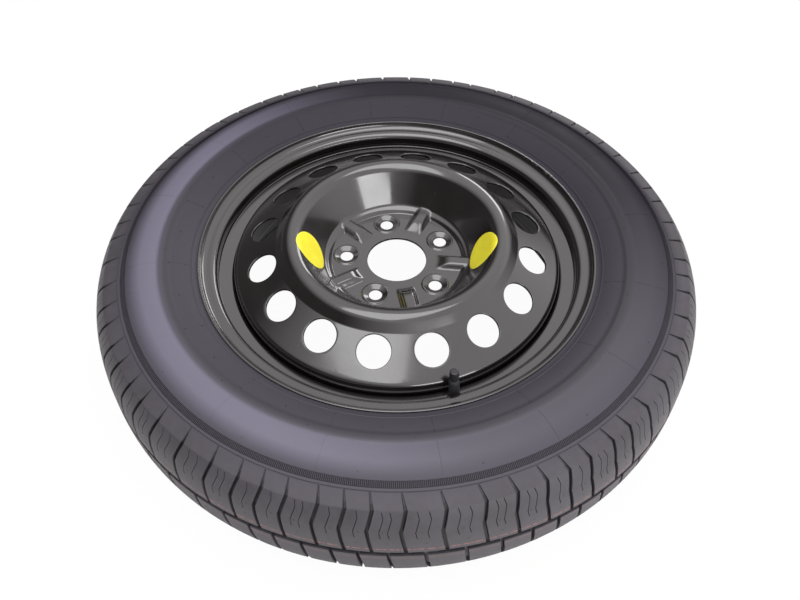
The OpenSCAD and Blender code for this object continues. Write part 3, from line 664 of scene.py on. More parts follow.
def tread_half(shell, half, sizes):
    """One half of the tread, from the crown groove's floor over the shoulder to the ridge. Returns the rows
    at its two edges with their angles."""
    angle, kind, side, follow = tread_columns(half)
    groove, sipe = sizes.groove_width * 500, sizes.sipe_width * 500
    deep, slit = sizes.groove_depth * 1000, sizes.sipe_depth * 1000
    edge_z = CROWN_GROOVE_W / 2 + half * CROWN_GROOVE_Z
    crown_end = half * CROWN_GROOVE_Z
    shoulder = np.array([float(tread_radius(SHOULDER_Z)), SHOULDER_Z])
    ridge = np.array([RIDGE_R, upper_z(RIDGE_R)])
    slope = unit(ridge - shoulder)
    buttress_out = np.array([slope[1], -slope[0]])

    def shift_at(z):
        groove_way = np.interp(z, [crown_end, KINK_Z, SHOULDER_Z], [0.9, -4.4, 0])
        sipe_way = np.interp(z, [crown_end, 20, 29.8, 37, 50, 55.2], [0.9, -1.4, -0.5, -2.1, 1.5, 0])
        return groove_way + (sipe_way - groove_way) * follow

    def row(point, out, widths, depth, slit_depth, shift, floor_depth=None):
        """Widths are the left edge, left foot, right foot and right edge of the groove."""
        left_edge, left_foot, right_foot, right_edge = widths if half > 0 else [-w for w in widths[::-1]]
        offset = np.select([(kind == 3) & (side < 0), (kind == 1) & (side < 0), (kind == 1) & (side > 0),
                            (kind == 3) & (side > 0), kind == 4],
                           [left_edge, left_foot, right_foot, right_edge, side * sipe], 0.0)
        sink = np.select([kind == 1, kind == 2], [depth, slit_depth], 0.0)
        if floor_depth is not None:
            sink = floor_depth + 0 * sink
        turned = angle + (offset + half * shift) / point[0]
        radius, height = point[0] - out[0] * sink, half * (point[1] - out[1] * sink)
        ring = np.stack([radius * np.cos(turned), radius * np.sin(turned), height + 0 * turned], 1)
        return shell.add(ring), turned

    straight = (-groove, -groove + 0.3, groove - 0.3, groove)
    heights = [edge_z, edge_z + 0.8, 12.0, 18.0, 24.0, 29.2, 29.9, 33.5, 37.0, 38.0, 41.0, 44.0, 47.0, 50.0,
               53.0, 54.9, 55.5, SHOULDER_Z]
    bar = np.minimum.reduce([np.abs((np.degrees(angle) + 84 - 60 * k + 180) % 360 - 180) for k in range(6)])
    floor = np.where(bar < 1.5, deep - 2.3, deep)
    top = np.array([float(tread_radius(edge_z)), edge_z])
    rows = [row(top - [0, 0.3], (1.0, 0.0), straight, deep, deep, shift_at(edge_z), floor)]
    for z in heights:
        r = float(tread_radius(z))
        fall = (float(tread_radius(z + 0.01)) - float(tread_radius(z - 0.01))) / 0.02
        out = np.array([1.0, -fall]) / math.hypot(1, fall)
        depth = float(np.interp(z, [0, 50, SHOULDER_Z], [deep - 0.02, deep - 0.02, deep * 0.78]))
        rows.append(row(np.array([r, z]), out, straight, depth, slit if 29.5 < z < 55.2 else 0.0,
                        shift_at(z)))
    for t in (0.03, 0.25, 0.5, 0.7, 0.82, 0.86):
        point = shoulder + (ridge - shoulder) * t
        share = min(1.0, t / 0.85)
        widths = [float(np.interp(share, [0, 1], pair)) for pair in
                  ((-groove, -1.5), (-groove + 0.8, 0.0), (groove - 0.3, 0.35), (groove, 0.55))]
        depth = 0.0 if t > 0.85 else float(np.interp(share, [0, 1], [deep * 0.7, 1.3]))
        rows.append(row(point, buttress_out, widths, depth, 0.0, -2.7 * share + 0 * follow))
    shell.bands([r[0] for r in rows])
    return rows[0], rows[-1]


def bead_path():
    """Bead from the flange's curl round the heel to the toe, outboard side."""
    curl = np.array([LIP_R - FLANGE_CURL, FLANGE_Z + FLANGE_CURL])
    heel_bend = 5.5
    heel = np.array([SEAT_R - RIM_T / 2 + heel_bend * math.tan(math.radians((90 - SEAT_TAPER) / 2)),
                     FLANGE_Z + RIM_T / 2 - heel_bend])
    gap, width = 0.15, 10.0
    points = [curl + direction(a) * (FLANGE_CURL + gap) for a in range(-8, -89, -8)]
    points += [heel + direction(a) * (heel_bend - RIM_T / 2 - gap) for a in range(90, 176, 17)]
    points += [np.array([SEAT_R + gap - width * math.tan(math.radians(SEAT_TAPER)), FLANGE_Z - width]),
               np.array([SEAT_R + 3.5, FLANGE_Z - width - 0.8])]
    return points


def sidewall_path():
    """Sidewall from the ridge to the bead's start, with its low rings and bands."""
    shoulder = np.array([float(tread_radius(SHOULDER_Z)), SHOULDER_Z])
    ridge = np.array([RIDGE_R, upper_z(RIDGE_R)])
    along = unit(ridge - shoulder)
    out = np.array([along[1], -along[0]])
    points = []
    for r, lift in ((304.5, 0.0), (304.2, -0.45), (303.8, -0.45), (303.5, 0.35), (302.7, 0.45), (302.3, 0.3)):
        t = (shoulder[0] - r) / (shoulder[0] - ridge[0])
        points.append(shoulder + (ridge - shoulder) * t + out * lift)
    relief = [(301.7, 0.1), (301.2, -0.05), (300.9, -0.5), (299.0, -0.5), (297.0, -0.5), (295.4, -0.5),
              (295.1, 0.12), (294.3, 0.12), (293.9, 0), (291, 0), (287, 0), (283, 0), (279, 0), (275, 0),
              (271, 0), (267, 0), (263, 0), (259.6, 0), (259.2, 0.28), (256, 0.28), (252, 0.28),
              (249.4, 0.28), (249.0, 0), (245, 0), (241, 0), (237, 0), (233, 0), (229.5, 0), (227.2, 0),
              (226.8, 0.4), (226.0, 0.4), (225.6, 0), (224.2, 0), (222.8, 0)]
    for r, lift in relief:
        if r >= WIDE_R:
            centre, z = np.array([WIDE_R, HALF_W - UPPER_CURVE]), upper_z(r)
        else:
            centre, z = np.array([WIDE_R, HALF_W - LOWER_CURVE]), lower_z(r)
        point = np.array([r, z])
        points.append(point + unit(point - centre) * lift)
    return points


def inside_path():
    """Inner face of the tyre from the toe's side up to the crown's middle."""
    top = np.array([CROWN_BASE, HALF_W - SIDEWALL_T])
    low, high = math.asin((LIP_R + 4 - top[0]) / INNER_CURVE), 0.0
    points = []
    for k in range(6):
        a = low + (high - low) * k / 5
        points.append([top[0] + INNER_CURVE * math.sin(a), top[1] - INNER_CURVE + INNER_CURVE * math.cos(a)])
    for k in range(1, 9):
        t = math.radians(90 - 90 * k / 8)
        points.append([CROWN_BASE + (CROWN_DROP - CROWN_T) * math.cos(t),
                       top[1] * max(0.0, math.sin(t)) ** (2 / 3)])
    return points


def tyre_mesh(sizes):
    shell = Shell()
    floors = {}
    for half in (1, -1):
        floor, edge = tread_half(shell, half, sizes)
        floors[half] = floor
        wide, narrow = round_angles(360), round_angles(180)
        rows = [shell.ring(r, half * z, wide) for r, z in sidewall_path() + bead_path()]
        shell.zipper(edge[0], rows[0], edge[1], wide)
        shell.bands(rows)
        inside = [shell.ring(r, half * z, narrow) for r, z in inside_path()]
        shell.zipper(rows[-1], inside[0], wide, narrow)
        shell.bands(inside)
    shell.zipper(floors[1][0], floors[-1][0], floors[1][1], floors[-1][1])
    return mesh_from("tyre_rubber", shell, sharp=38.0)


def round_the_axle():
    """Node tree that repeats one form round the vertical axis."""
    tree = bpy.data.node_groups.new("repeat_round_the_axis", "GeometryNodeTree")
    tree.interface.new_socket("Form", in_out="INPUT", socket_type="NodeSocketGeometry")
    for name, kind in (("Count", "NodeSocketInt"), ("First angle", "NodeSocketFloat"),
                       ("Angle step", "NodeSocketFloat"),
                       ("Finish", "NodeSocketMaterial")):
        tree.interface.new_socket(name, in_out="INPUT", socket_type=kind)
    tree.interface.new_socket("Result", in_out="OUTPUT", socket_type="NodeSocketGeometry")
    given = add_node(tree, "NodeGroupInput")
    places = add_node(tree, "GeometryNodeMeshLine", {"Offset": (0, 0, 0)}, {"Count": (given, "Count")},
                      mode="OFFSET")
    index = add_node(tree, "GeometryNodeInputIndex")
    turn = add_node(tree, "ShaderNodeMath",
                    links={0: index, 1: (given, "Angle step"), 2: (given, "First angle")},
                    operation="MULTIPLY_ADD")
    euler = add_node(tree, "ShaderNodeCombineXYZ", links={"Z": turn})
    rotation = add_node(tree, "FunctionNodeEulerToRotation", links={0: euler})
    placed = add_node(tree, "GeometryNodeInstanceOnPoints",
                      links={"Points": places, "Instance": (given, "Form"), "Rotation": rotation})
    real = add_node(tree, "GeometryNodeRealizeInstances", links={0: placed})
    painted = add_node(tree, "GeometryNodeSetMaterial", links={0: real, "Material": (given, "Finish")})
    add_node(tree, "NodeGroupOutput", links={0: painted})
    return tree


def repeated(context, name, form, count, first, step, material):
    """Bakes one form repeated round the axis into a plain mesh."""
    tree = bpy.data.node_groups.get("repeat_round_the_axis") or round_the_axle()
    pattern = bpy.data.objects.new(name + "_form", form)
    context.scene.collection.objects.link(pattern)
    modifier = pattern.modifiers.new("Repeat", "NODES")
    modifier.node_group = tree
    given = {item.name: item.identifier for item in tree.interface.items_tree if item.in_out == "INPUT"}
    modifier[given["Count"]] = count
    modifier[given["First angle"]] = first
    modifier[given["Angle step"]] = step
    modifier[given["Finish"]] = material
    graph = context.evaluated_depsgraph_get()
    graph.update()
    mesh = bpy.data.meshes.new_from_object(pattern.evaluated_get(graph))
    mesh.name = name
    bpy.data.objects.remove(pattern)
    bpy.data.meshes.remove(form)
    if len(mesh.polygons) == 0:
        raise RuntimeError(name + " came out empty")
    return mesh


def ridge_form(path, normals, foot, top, height, sunk=0.15):
    """A low ridge along a path of [radius, height] at angle 0, a trapezium in section."""
    shell = Shell()
    rows = []
    for point, out in zip(path, normals):
        low, high = point - out * sunk, point + out * height
        rows.append(shell.add([[low[0], -foot / 2, low[1]], [high[0], -top / 2, high[1]],
                               [high[0], top / 2, high[1]], [low[0], foot / 2, low[1]]]))
    shell.bands(rows)
    shell.faces.append([int(i) for i in rows[0]])
    shell.faces.append([int(i) for i in rows[-1]])
    return shell


def joined(name, meshes):
    """One mesh from several."""
    whole = bmesh.new()
    for mesh in meshes:
        whole.from_mesh(mesh)
        bpy.data.meshes.remove(mesh)
    result = bpy.data.meshes.new(name)
    whole.to_mesh(result)
    whole.free()
    result.materials.append(None)
    return result


def side_section(radii):
    """Points and outward directions of the sidewall at the radii."""
    points, normals = [], []
    for r in radii:
        above = r >= WIDE_R
        centre = np.array([WIDE_R, HALF_W - (UPPER_CURVE if above else LOWER_CURVE)])
        point = np.array([r, upper_z(r) if above else lower_z(r)])
        points.append(point)
        normals.append(unit(point - centre))
    return points, normals


def flipped(shell):
    """The same form on the inboard side."""
    twin = Shell()
    twin.add(np.concatenate(shell.points) * [1, -1, -1])
    twin.faces = [list(face) for face in shell.faces]
    return twin


class SPARE_OT_tyre(bpy.types.Operator):
    """Builds the tyre: tread blocks with grooves and sipes, shoulders, sidewalls and beads"""
    bl_idname = "spare_wheel.tyre"
    bl_label = "Tyre"

    def execute(self, context):
        sizes = context.scene.spare_tyre
        rubber = vulcanised_rubber(sizes)
        put_piece(context, "tyre_rubber", tyre_mesh(sizes), rubber, ["tyre"])
        return {"FINISHED"}


class SPARE_OT_tyre_relief(bpy.types.Operator):
    """Adds what the mould leaves on the tyre: the ribbed bands, the segment lines and the vent nubs"""
    bl_idname = "spare_wheel.tyre_relief"
    bl_label = "Ribs, lines and nubs on the tyre"

    def execute(self, context):
        sizes = context.scene.spare_tyre
        rubber = bpy.data.materials["vulcanised_tyre_rubber"]
        points, normals = side_section((295.6, 298.2, 300.7))
        lowered = [p - n * 0.5 for p, n in zip(points, normals)]
        count = sizes.side_ribs
        ribs = []
        for turned in (False, True):
            form = ridge_form(lowered, normals, 1.15, 0.55, 0.5, 0.1)
            form = flipped(form) if turned else form
            ribs.append(repeated(context, "ribs", mesh_from("rib", form, sharp=25.0), count, 0.0,
                                 FULL_TURN / count, rubber))
        put_piece(context, "sidewall_ribs", joined("sidewall_ribs", ribs), rubber)
        lines = []
        points, normals = side_section((227.6, 233, 238.5, 244, 248.6))
        over, over_out = side_section((259.8, 264, 270, 276, 282, 288, 293.6))
        step = FULL_TURN / sizes.mould_lines
        for turned in (False, True):
            for path, outs in ((points, normals), (over, over_out)):
                form = ridge_form(path, outs, 0.7, 0.3, 0.22)
                form = flipped(form) if turned else form
                lines.append(repeated(context, "lines", mesh_from("line", form, sharp=25.0),
                                      sizes.mould_lines,
                                      math.radians(-14.0), step, rubber))
        put_piece(context, "mould_lines", joined("mould_lines", lines), rubber)
        nubs, spots = self.nubs()
        put_piece(context, "vent_nubs", nubs, rubber)
        put_piece(context, "tread_spots", spots, moulded_rubber("smooth_rubber_spots", "#29282D", 0.5, 0.3))
        return {"FINISHED"}

    def nubs(self):
        """Short stubs where air left the mould on the sidewalls, and flush spots on the tread blocks."""
        places, spots = [], []
        step = 22.5
        for half in (1, -1):
            for k in range(16):
                base = half * (-14.0 + k * step)
                for radius, turn in ((248.1, 0.0), (231.0, 0.0), (241.0, step / 2), (289.0, step / 3),
                                     (254.0, step * 0.8)):
                    point, out = (v[0] for v in side_section((radius,)))
                    places.append((point, out, base + turn, half, 0.55, min(0.9, HALF_W - 0.05 - point[1])))
            starts, letters = block_places(half)
            ends = starts[1:] + [starts[0] + 360]
            for start, end, letter in zip(starts, ends, letters):
                for z, share in zip((37.0, 22.0), NUBS[letter]):
                    r = float(tread_radius(z))
                    fall = (float(tread_radius(z + 0.01)) - float(tread_radius(z - 0.01))) / 0.02
                    out = np.array([1.0, -fall]) / math.hypot(1, fall)
                    spots.append((np.array([r, z]), out, start + share * (end - start), half, 1.35, 0.04))
                if half < 0:
                    for z, share in ((7.4, 0.42), (22.6, 0.62)):
                        r = float(tread_radius(z))
                        spots.append((np.array([r, z]), np.array([1.0, 0.05]),
                                      start + share * (end - start), half, 0.7, 0.04))
        return self.studs("vent_nubs", places), self.studs("tread_spots", spots)

    def studs(self, name, places):
        shell = Shell()
        for point, out, angle, half, wide, tall in places:
            turn = math.radians(angle)
            across = np.array([-math.sin(turn), math.cos(turn), 0])
            radial = np.array([math.cos(turn), math.sin(turn), 0])
            axis = radial * out[0] + np.array([0, 0, half * out[1]])
            other = np.cross(axis, across)
            centre = radial * point[0] + np.array([0, 0, half * point[1]])
            rows = []
            for lift, width in ((-0.2, wide), (tall * 0.7, wide * 0.9), (tall, wide * 0.5)):
                middle = centre + axis * lift
                rows.append(shell.add([middle + width * (across * math.cos(a) + other * math.sin(a))
                                       for a in round_angles(7)]))
            shell.bands(rows)
            for end_row in (rows[0], rows[-1]):
                shell.faces.append([int(i) for i in end_row])
        return mesh_from(name, shell, sharp=40.0)


# Rim

WELL_DEPTH, WELL_TOP, WELL_SLOPE, HUMP_H = 18.3, 35.5, 7.0, 0.9
RIM_SEAT, RIM_FLANGE, RIM_LIP = SEAT_R - RIM_T / 2, FLANGE_Z + RIM_T / 2, LIP_R - RIM_T / 2
WELL_R = RIM_SEAT - WELL_DEPTH
WELL_FOOT = WELL_TOP - (RIM_SEAT - WELL_R) * math.tan(math.radians(WELL_SLOPE))
VALVE_R, VALVE_ANGLE, VALVE_HOLE_D = 192.6, -72.4, 11.5


def seat_at(z):
    return RIM_SEAT - (FLANGE_Z - abs(z)) * math.tan(math.radians(SEAT_TAPER))


VALVE_FOOT_Z = (WELL_TOP - (seat_at(WELL_TOP) - VALVE_R) * math.tan(math.radians(WELL_SLOPE))
                + RIM_T / 2 / math.cos(math.radians(WELL_SLOPE)))


def valve_place():
    """The valve's own frame: its foot on the drop centre's shoulder, looking out along the valve."""
    return (Matrix.Rotation(math.radians(VALVE_ANGLE), 4, "Z")
            @ Matrix.Translation((VALVE_R * MM, 0, (VALVE_FOOT_Z + MIDDLE) * MM))
            @ Matrix.Rotation(math.radians(-WELL_SLOPE), 4, "Y"))


def rim_mesh():
    hump_foot, hump_z, low_hump_z = 2.6, 38.4, -36.0
    curl_bend, heel_bend = FLANGE_CURL - RIM_T / 2, 5.5
    rolled = 0.35
    end = FLANGE_Z + FLANGE_CURL + 0.4 - rolled
    path = supported(bent([
        [RIM_LIP, end, 0], [RIM_LIP, RIM_FLANGE, curl_bend], [RIM_SEAT, RIM_FLANGE, heel_bend],
        [seat_at(hump_z) - 0.2, hump_z + hump_foot, 2], [seat_at(hump_z) + HUMP_H, hump_z, 1.6],
        [seat_at(WELL_TOP) - 0.3, WELL_TOP, 2.4], [WELL_R, WELL_FOOT, 3.5], [WELL_R, -4, 6],
        [seat_at(-22), -22, 8], [seat_at(low_hump_z) - 0.2, low_hump_z + hump_foot, 2],
        [seat_at(low_hump_z) + HUMP_H, low_hump_z, 1.6],
        [seat_at(low_hump_z) - 0.2, low_hump_z - hump_foot, 2],
        [RIM_SEAT, -RIM_FLANGE, heel_bend], [RIM_LIP, -RIM_FLANGE, curl_bend], [RIM_LIP, -end, 0]]))
    inside, outside = beside(path, -RIM_T / 2), beside(path, RIM_T / 2)

    def rolled_end(first, last, up):
        """Softened edge between the two faces of the sheet where it was cut."""
        middle, arm = (first + last) / 2, (last - first) / 2
        return [middle - arm * math.cos(a) + np.array([0, up * rolled * math.sin(a) ** 0.6])
                for a in np.linspace(0, math.pi, 8)[1:-1]]

    section = (list(inside) + rolled_end(inside[-1], outside[-1], -1) + list(outside[::-1])
               + rolled_end(outside[0], inside[0], 1))
    shell = Shell()
    shell.lathe(section, 288)
    return mesh_from("rim_steel", shell, sharp=50.0)


def cut_round_hole(context, mesh, place, diameter, low, high):
    """Cuts a round hole along the frame's axis through a mesh."""
    tool = Shell()
    rows = [tool.ring(diameter / 2, z, round_angles(64)) for z in (low, high)]
    tool.bands(rows)
    tool.lid(rows[0], [0, 0, low])
    tool.lid(rows[1], [0, 0, high])
    target = bpy.data.objects.new("cut_target", mesh)
    cutter = bpy.data.objects.new("cut_tool", mesh_from("cut_tool", tool, place=place))
    for item in (target, cutter):
        context.scene.collection.objects.link(item)
    modifier = target.modifiers.new("Hole", "BOOLEAN")
    modifier.operation, modifier.solver, modifier.object = "DIFFERENCE", "EXACT", cutter
    graph = context.evaluated_depsgraph_get()
    graph.update()
    result = bpy.data.meshes.new_from_object(target.evaluated_get(graph))
    name, tool_mesh = mesh.name, cutter.data
    for item in (target, cutter):
        bpy.data.objects.remove(item)
    bpy.data.meshes.remove(mesh)
    bpy.data.meshes.remove(tool_mesh)
    result.name = name
    result.polygons.foreach_set("use_smooth", [True] * len(result.polygons))
    result.set_sharp_from_angle(angle=math.radians(50))
    return result


class SPARE_OT_rim(bpy.types.Operator):
    """Builds the rolled steel rim with its flanges, seats, humps and drop centre, and its valve hole"""
    bl_idname = "spare_wheel.rim"
    bl_label = "Rim"

    def execute(self, context):
        paint = stoved_black_paint(context.scene.spare_wheel)
        mesh = cut_round_hole(context, rim_mesh(), valve_place(), VALVE_HOLE_D, -4.5, 1.0)
        put_piece(context, "rim_steel", mesh, paint, ["rim"])
        return {"FINISHED"}


# Disc

WHEEL_OFFSET, DISC_T, BORE_R, PLATE_R = 35.0, 3.0, 33.3, 73.5
PLATE_TOP = WHEEL_OFFSET + DISC_T
BOWL_FOOT = np.array([81.4, PLATE_TOP + 5.3])
BOWL_SLOPE, CREST_R, CREST_TOP, CREST_ROUND, CREST_FALL = 55.7, 115.8, 82.7, 14.0, 46.0
VENT_N, VENT_D, VENT_R, VENT_Z, VENT_SLOPE, VENT_FIRST = 16, 35.5, 150.6, 61.7, 27.5, -98.5
SKIRT_R, SKIRT_LOW = WELL_R - RIM_T / 2 - 0.05, 10.0
LUG_N, LUG_PCD, LUG_D, LUG_SEAT_D, LUG_FIRST = 5, 114.3, 14.5, 26.0, 102.3
LUG_RING_H, LUG_WALL = 1.2, 1.2
RIB_H, RIB_FOOT_W, RIB_TOP_W, RIB_START, RIB_END_L = 6.0, 23.0, 12.0, 47.0, 10.0
COLUMNS = 320
HUB_EDGE, WALL_START = 73.1, 86.0

CREST_MIDDLE = np.array([CREST_R, CREST_TOP - CREST_ROUND])
CREST_IN = CREST_MIDDLE + direction(90 + BOWL_SLOPE) * CREST_ROUND
CREST_OUT = CREST_MIDDLE + direction(90 - CREST_FALL) * CREST_ROUND
WALL_ANGLE = math.degrees(math.atan2(*(CREST_IN - BOWL_FOOT)[::-1]))
VENT_MIDDLE = np.array([VENT_R, VENT_Z])


def disc_path():
    """Outboard face of the disc, from inside the hub bore out to the skirt's lower edge."""
    crest = crossing(BOWL_FOOT, WALL_ANGLE, CREST_OUT, -CREST_FALL)
    vent = crossing(CREST_OUT, -CREST_FALL, VENT_MIDDLE, -VENT_SLOPE)
    skirt = crossing(VENT_MIDDLE, -VENT_SLOPE, np.array([SKIRT_R, 0.0]), 90)
    return bent([[BORE_R - 6, PLATE_TOP, 0], [PLATE_R, PLATE_TOP, 1.5],
                 [PLATE_R + 3.4, PLATE_TOP + 3.6, DISC_T + 0.8],
                 [BOWL_FOOT[0], BOWL_FOOT[1], 6.0], [crest[0], crest[1], CREST_ROUND],
                 [vent[0], vent[1], 4.0],
                 [skirt[0], skirt[1], 9.0], [SKIRT_R, SKIRT_LOW, 0]], 5.0)


def rib_height(x, y, grow):
    """Height of the pressed ribs over the plate; grow is how much narrower the hollow under them is."""
    radius, turn = np.hypot(x, y), np.degrees(np.arctan2(y, x))
    off = (turn - LUG_FIRST - 36 + 36) % 72 - 36
    across = np.abs(radius * np.sin(np.radians(off)))
    side = ((RIB_FOOT_W - grow) / 2 - across) * (RIB_H + DISC_T) / ((RIB_FOOT_W - RIB_TOP_W) / 2) - DISC_T
    end = (radius - RIB_START) * RIB_H / RIB_END_L
    return smooth_least(smooth_least(side, end, 3.0), RIB_H + 0 * side, 3.2)


def face_height(x, y, path, under):
    """Height of the disc's outboard or inboard face near the hub."""
    radius = np.hypot(x, y)
    base = np.interp(radius, path[:, 0], path[:, 1])
    if under:
        rib = np.minimum(rib_height(x, y, DISC_T), (80.4 - radius) * 4)
        return smooth_most(base, WHEEL_OFFSET + rib, 1.0)
    return smooth_most(base, PLATE_TOP + rib_height(x, y, 0.0), 2.2)


def sector_loop(low_r, high_r, half_angle, across, along):
    """Closed loop of [radius, angle] round a sector: outer arc, one side, inner arc, the other side."""
    arc = np.linspace(-half_angle, half_angle, across + 1)
    side = np.linspace(high_r, low_r, along + 1)
    loop = [(high_r, a) for a in arc[:-1]] + [(r, half_angle) for r in side[:-1]]
    loop += [(low_r, a) for a in arc[::-1][:-1]] + [(r, -half_angle) for r in side[::-1][:-1]]
    return np.array(loop)


def lug_patch(shell, turn, path, under):
    """Part of the hub plate round one lug hole, from the sector's edge in to the hole."""
    loop = sector_loop(BORE_R + 0.3, HUB_EDGE, math.radians(36), COLUMNS // LUG_N, 16)
    edge = np.stack([loop[:, 0] * np.cos(loop[:, 1]), loop[:, 0] * np.sin(loop[:, 1])], 1)
    centre = np.array([LUG_PCD / 2, 0])
    ways = edge - centre
    ways /= np.hypot(ways[:, 0], ways[:, 1])[:, None]
    rows = []
    base_r = LUG_SEAT_D / 2 + 2.55
    steps = 7 if under else 16
    lowest = WHEEL_OFFSET if under else PLATE_TOP
    cos, sin = math.cos(turn), math.sin(turn)

    def put(flat, height):
        x, y = flat[:, 0] * cos - flat[:, 1] * sin, flat[:, 0] * sin + flat[:, 1] * cos
        z = face_height(x, y, path, under) if height is None else height + 0 * x
        rows.append(shell.add(np.stack([x, y, z], 1)))

    rim_r = LUG_D / 2 + 0.5 if under else base_r
    for k in range(steps):
        t = k / steps
        put(edge * (1 - t) + (centre + ways * rim_r) * t, None)
    if under:
        for r, z in ((rim_r, lowest), (LUG_D / 2 + 0.12, lowest + 0.12), (LUG_D / 2, lowest + 0.5)):
            put(centre + ways * r, z)
    else:
        seat = LUG_SEAT_D / 2
        ring = [(base_r + 0.02, 0.0), (base_r - 0.3, 0.14), (seat + 1.35, LUG_RING_H - 0.2),
                (seat + 0.9, LUG_RING_H - 0.03),
                (seat + 0.6, LUG_RING_H), (seat + 0.3, LUG_RING_H - 0.02), (seat - 0.05, LUG_RING_H - 0.25)]
        cone_low = WHEEL_OFFSET + LUG_WALL - PLATE_TOP
        ring += [(seat - 0.5 + (LUG_D / 2 - seat + 0.5) * t,
                  LUG_RING_H - 0.47 + (cone_low - LUG_RING_H + 0.47) * t)
                 for t in (0, 0.25, 0.5, 0.75, 0.97)]
        ring += [(LUG_D / 2, cone_low - 0.2), (LUG_D / 2, WHEEL_OFFSET + 0.5 - PLATE_TOP)]
        for r, z in ring:
            put(centre + ways * r, PLATE_TOP + z)
    shell.bands(rows)


def vent_patch(shell, turn, edges, depth, rounding):
    """Part of the vented ring round one vent. edges are the radii of its inner and outer edge, and depth is
    how far the face lies under the outboard one."""
    slope = math.radians(VENT_SLOPE)
    axis = np.array([math.sin(slope), 0, math.cos(slope)])

    def cone(radius, down):
        return VENT_Z - (radius - VENT_R) * math.tan(slope) - down / math.cos(slope)

    loop = sector_loop(edges[0], edges[1], FULL_TURN / VENT_N / 2, COLUMNS // VENT_N, 12)
    flat = np.stack([(loop[:, 0] - VENT_R) / math.cos(slope), loop[:, 0] * np.sin(loop[:, 1])], 1)
    bearing = np.arctan2(flat[:, 1], flat[:, 0])

    def circle(radius, down):
        p = np.stack([VENT_R + radius * np.cos(bearing) * math.cos(slope), radius * np.sin(bearing),
                      VENT_Z - radius * np.cos(bearing) * math.sin(slope)], 1)
        for _ in range(5):
            miss = p[:, 2] - cone(np.hypot(p[:, 0], p[:, 1]), down)
            p = p - axis * (miss / (axis[2] + math.tan(slope) * axis[0]))[:, None]
        return p

    def put(p):
        x, y = (p[:, 0] * math.cos(turn) - p[:, 1] * math.sin(turn),
                p[:, 0] * math.sin(turn) + p[:, 1] * math.cos(turn))
        return shell.add(np.stack([x, y, p[:, 2]], 1))

    rows = []
    start = circle(VENT_D / 2 + rounding, depth)
    start_r, start_a = np.hypot(start[:, 0], start[:, 1]), np.arctan2(start[:, 1], start[:, 0])
    for t in np.linspace(0, 1, 8)[:-1]:
        r, a = loop[:, 0] + (start_r - loop[:, 0]) * t, loop[:, 1] + (start_a - loop[:, 1]) * t
        rows.append(put(np.stack([r * np.cos(a), r * np.sin(a), cone(r, depth)], 1)))
    inward = 1 if depth == 0 else -1
    for a in np.linspace(0, math.pi / 2, 5):
        rows.append(put(circle(VENT_D / 2 + rounding * (1 - math.sin(a)),
                               depth + inward * rounding * (1 - math.cos(a)))))
    shell.bands(rows)
    return rows[-1]


def disc_mesh(sizes):
    shell = Shell()
    path = disc_path()
    low = beside(path, -DISC_T)
    rounding = sizes.sheet_round * 1000
    start = math.radians(LUG_FIRST - 36)
    angles = round_angles(COLUMNS, start)
    vent_angles = round_angles(COLUMNS, math.radians(VENT_FIRST - 180 / VENT_N))

    slope = math.radians(VENT_SLOPE)
    on_cone = [i for i in range(len(path) - 1) if abs(math.atan2(path[i][1] - path[i + 1][1],
                                                                 path[i + 1][0] - path[i][0]) - slope) < 0.01
               and path[i + 1][0] - path[i][0] > 5]
    ring_start, ring_end = on_cone[0], on_cone[0] + 1
    for face, under in ((path, False), (low, True)):
        hub_rows = []
        bore = ((BORE_R, WHEEL_OFFSET + 1.5, 0), (BORE_R, WHEEL_OFFSET + 0.3, 1),
                (BORE_R + 0.09, WHEEL_OFFSET + 0.09, 1),
                (BORE_R + 0.3, WHEEL_OFFSET, 1))
        for r, z, at_edge in bore:
            z = z if under or not at_edge else 2 * WHEEL_OFFSET + DISC_T - z
            hub_rows.append(shell.ring(r, z, angles))
        shell.bands(hub_rows)
        for k in range(LUG_N):
            lug_patch(shell, math.radians(LUG_FIRST + 72 * k), face, under)
        radii = np.append(np.arange(HUB_EDGE, WALL_START, 0.8), WALL_START)
        rows = []
        for r in radii:
            x, y = r * np.cos(angles), r * np.sin(angles)
            rows.append(shell.add(np.stack([x, y, face_height(x, y, face, under)], 1)))
        shell.bands(rows)
        outer = [p for p in supported(face[:ring_start + 1]) if p[0] > WALL_START + 0.05]
        wall = [shell.ring(r, z, angles) for r, z in outer[:-1]]
        shell.bands([rows[-1]] + wall)
        joint = shell.ring(outer[-1][0], outer[-1][1], vent_angles)
        shell.zipper(wall[-1], joint, angles, vent_angles)
        shell.bands([joint, shell.ring(face[ring_start][0], face[ring_start][1], vent_angles)])
        skirt = [shell.ring(r, z, vent_angles) for r, z in supported(face[ring_end:])]
        shell.bands(skirt)
        holes = [vent_patch(shell, math.radians(VENT_FIRST + k * 360 / VENT_N),
                            (face[ring_start][0], face[ring_end][0]),
                            DISC_T if under else 0.0, rounding) for k in range(VENT_N)]
        if under:
            for a, b in zip(top_holes, holes):
                shell.band(a, b)
            shell.bands([top_skirt, skirt[-1]])
        top_holes, top_skirt = holes, skirt[-1]
    return mesh_from("disc_steel", shell, sharp=40.0)


class SPARE_OT_disc(bpy.types.Operator):
    """Builds the pressed steel centre: hub plate, coned lug seats, ribs, bowl, crest, vents and skirt"""
    bl_idname = "spare_wheel.disc"
    bl_label = "Disc"

    def execute(self, context):
        paint = bpy.data.materials["stoved_gloss_black_paint"]
        put_piece(context, "disc_steel", disc_mesh(context.scene.spare_wheel), paint,
                  ["wheel_disc"])
        return {"FINISHED"}


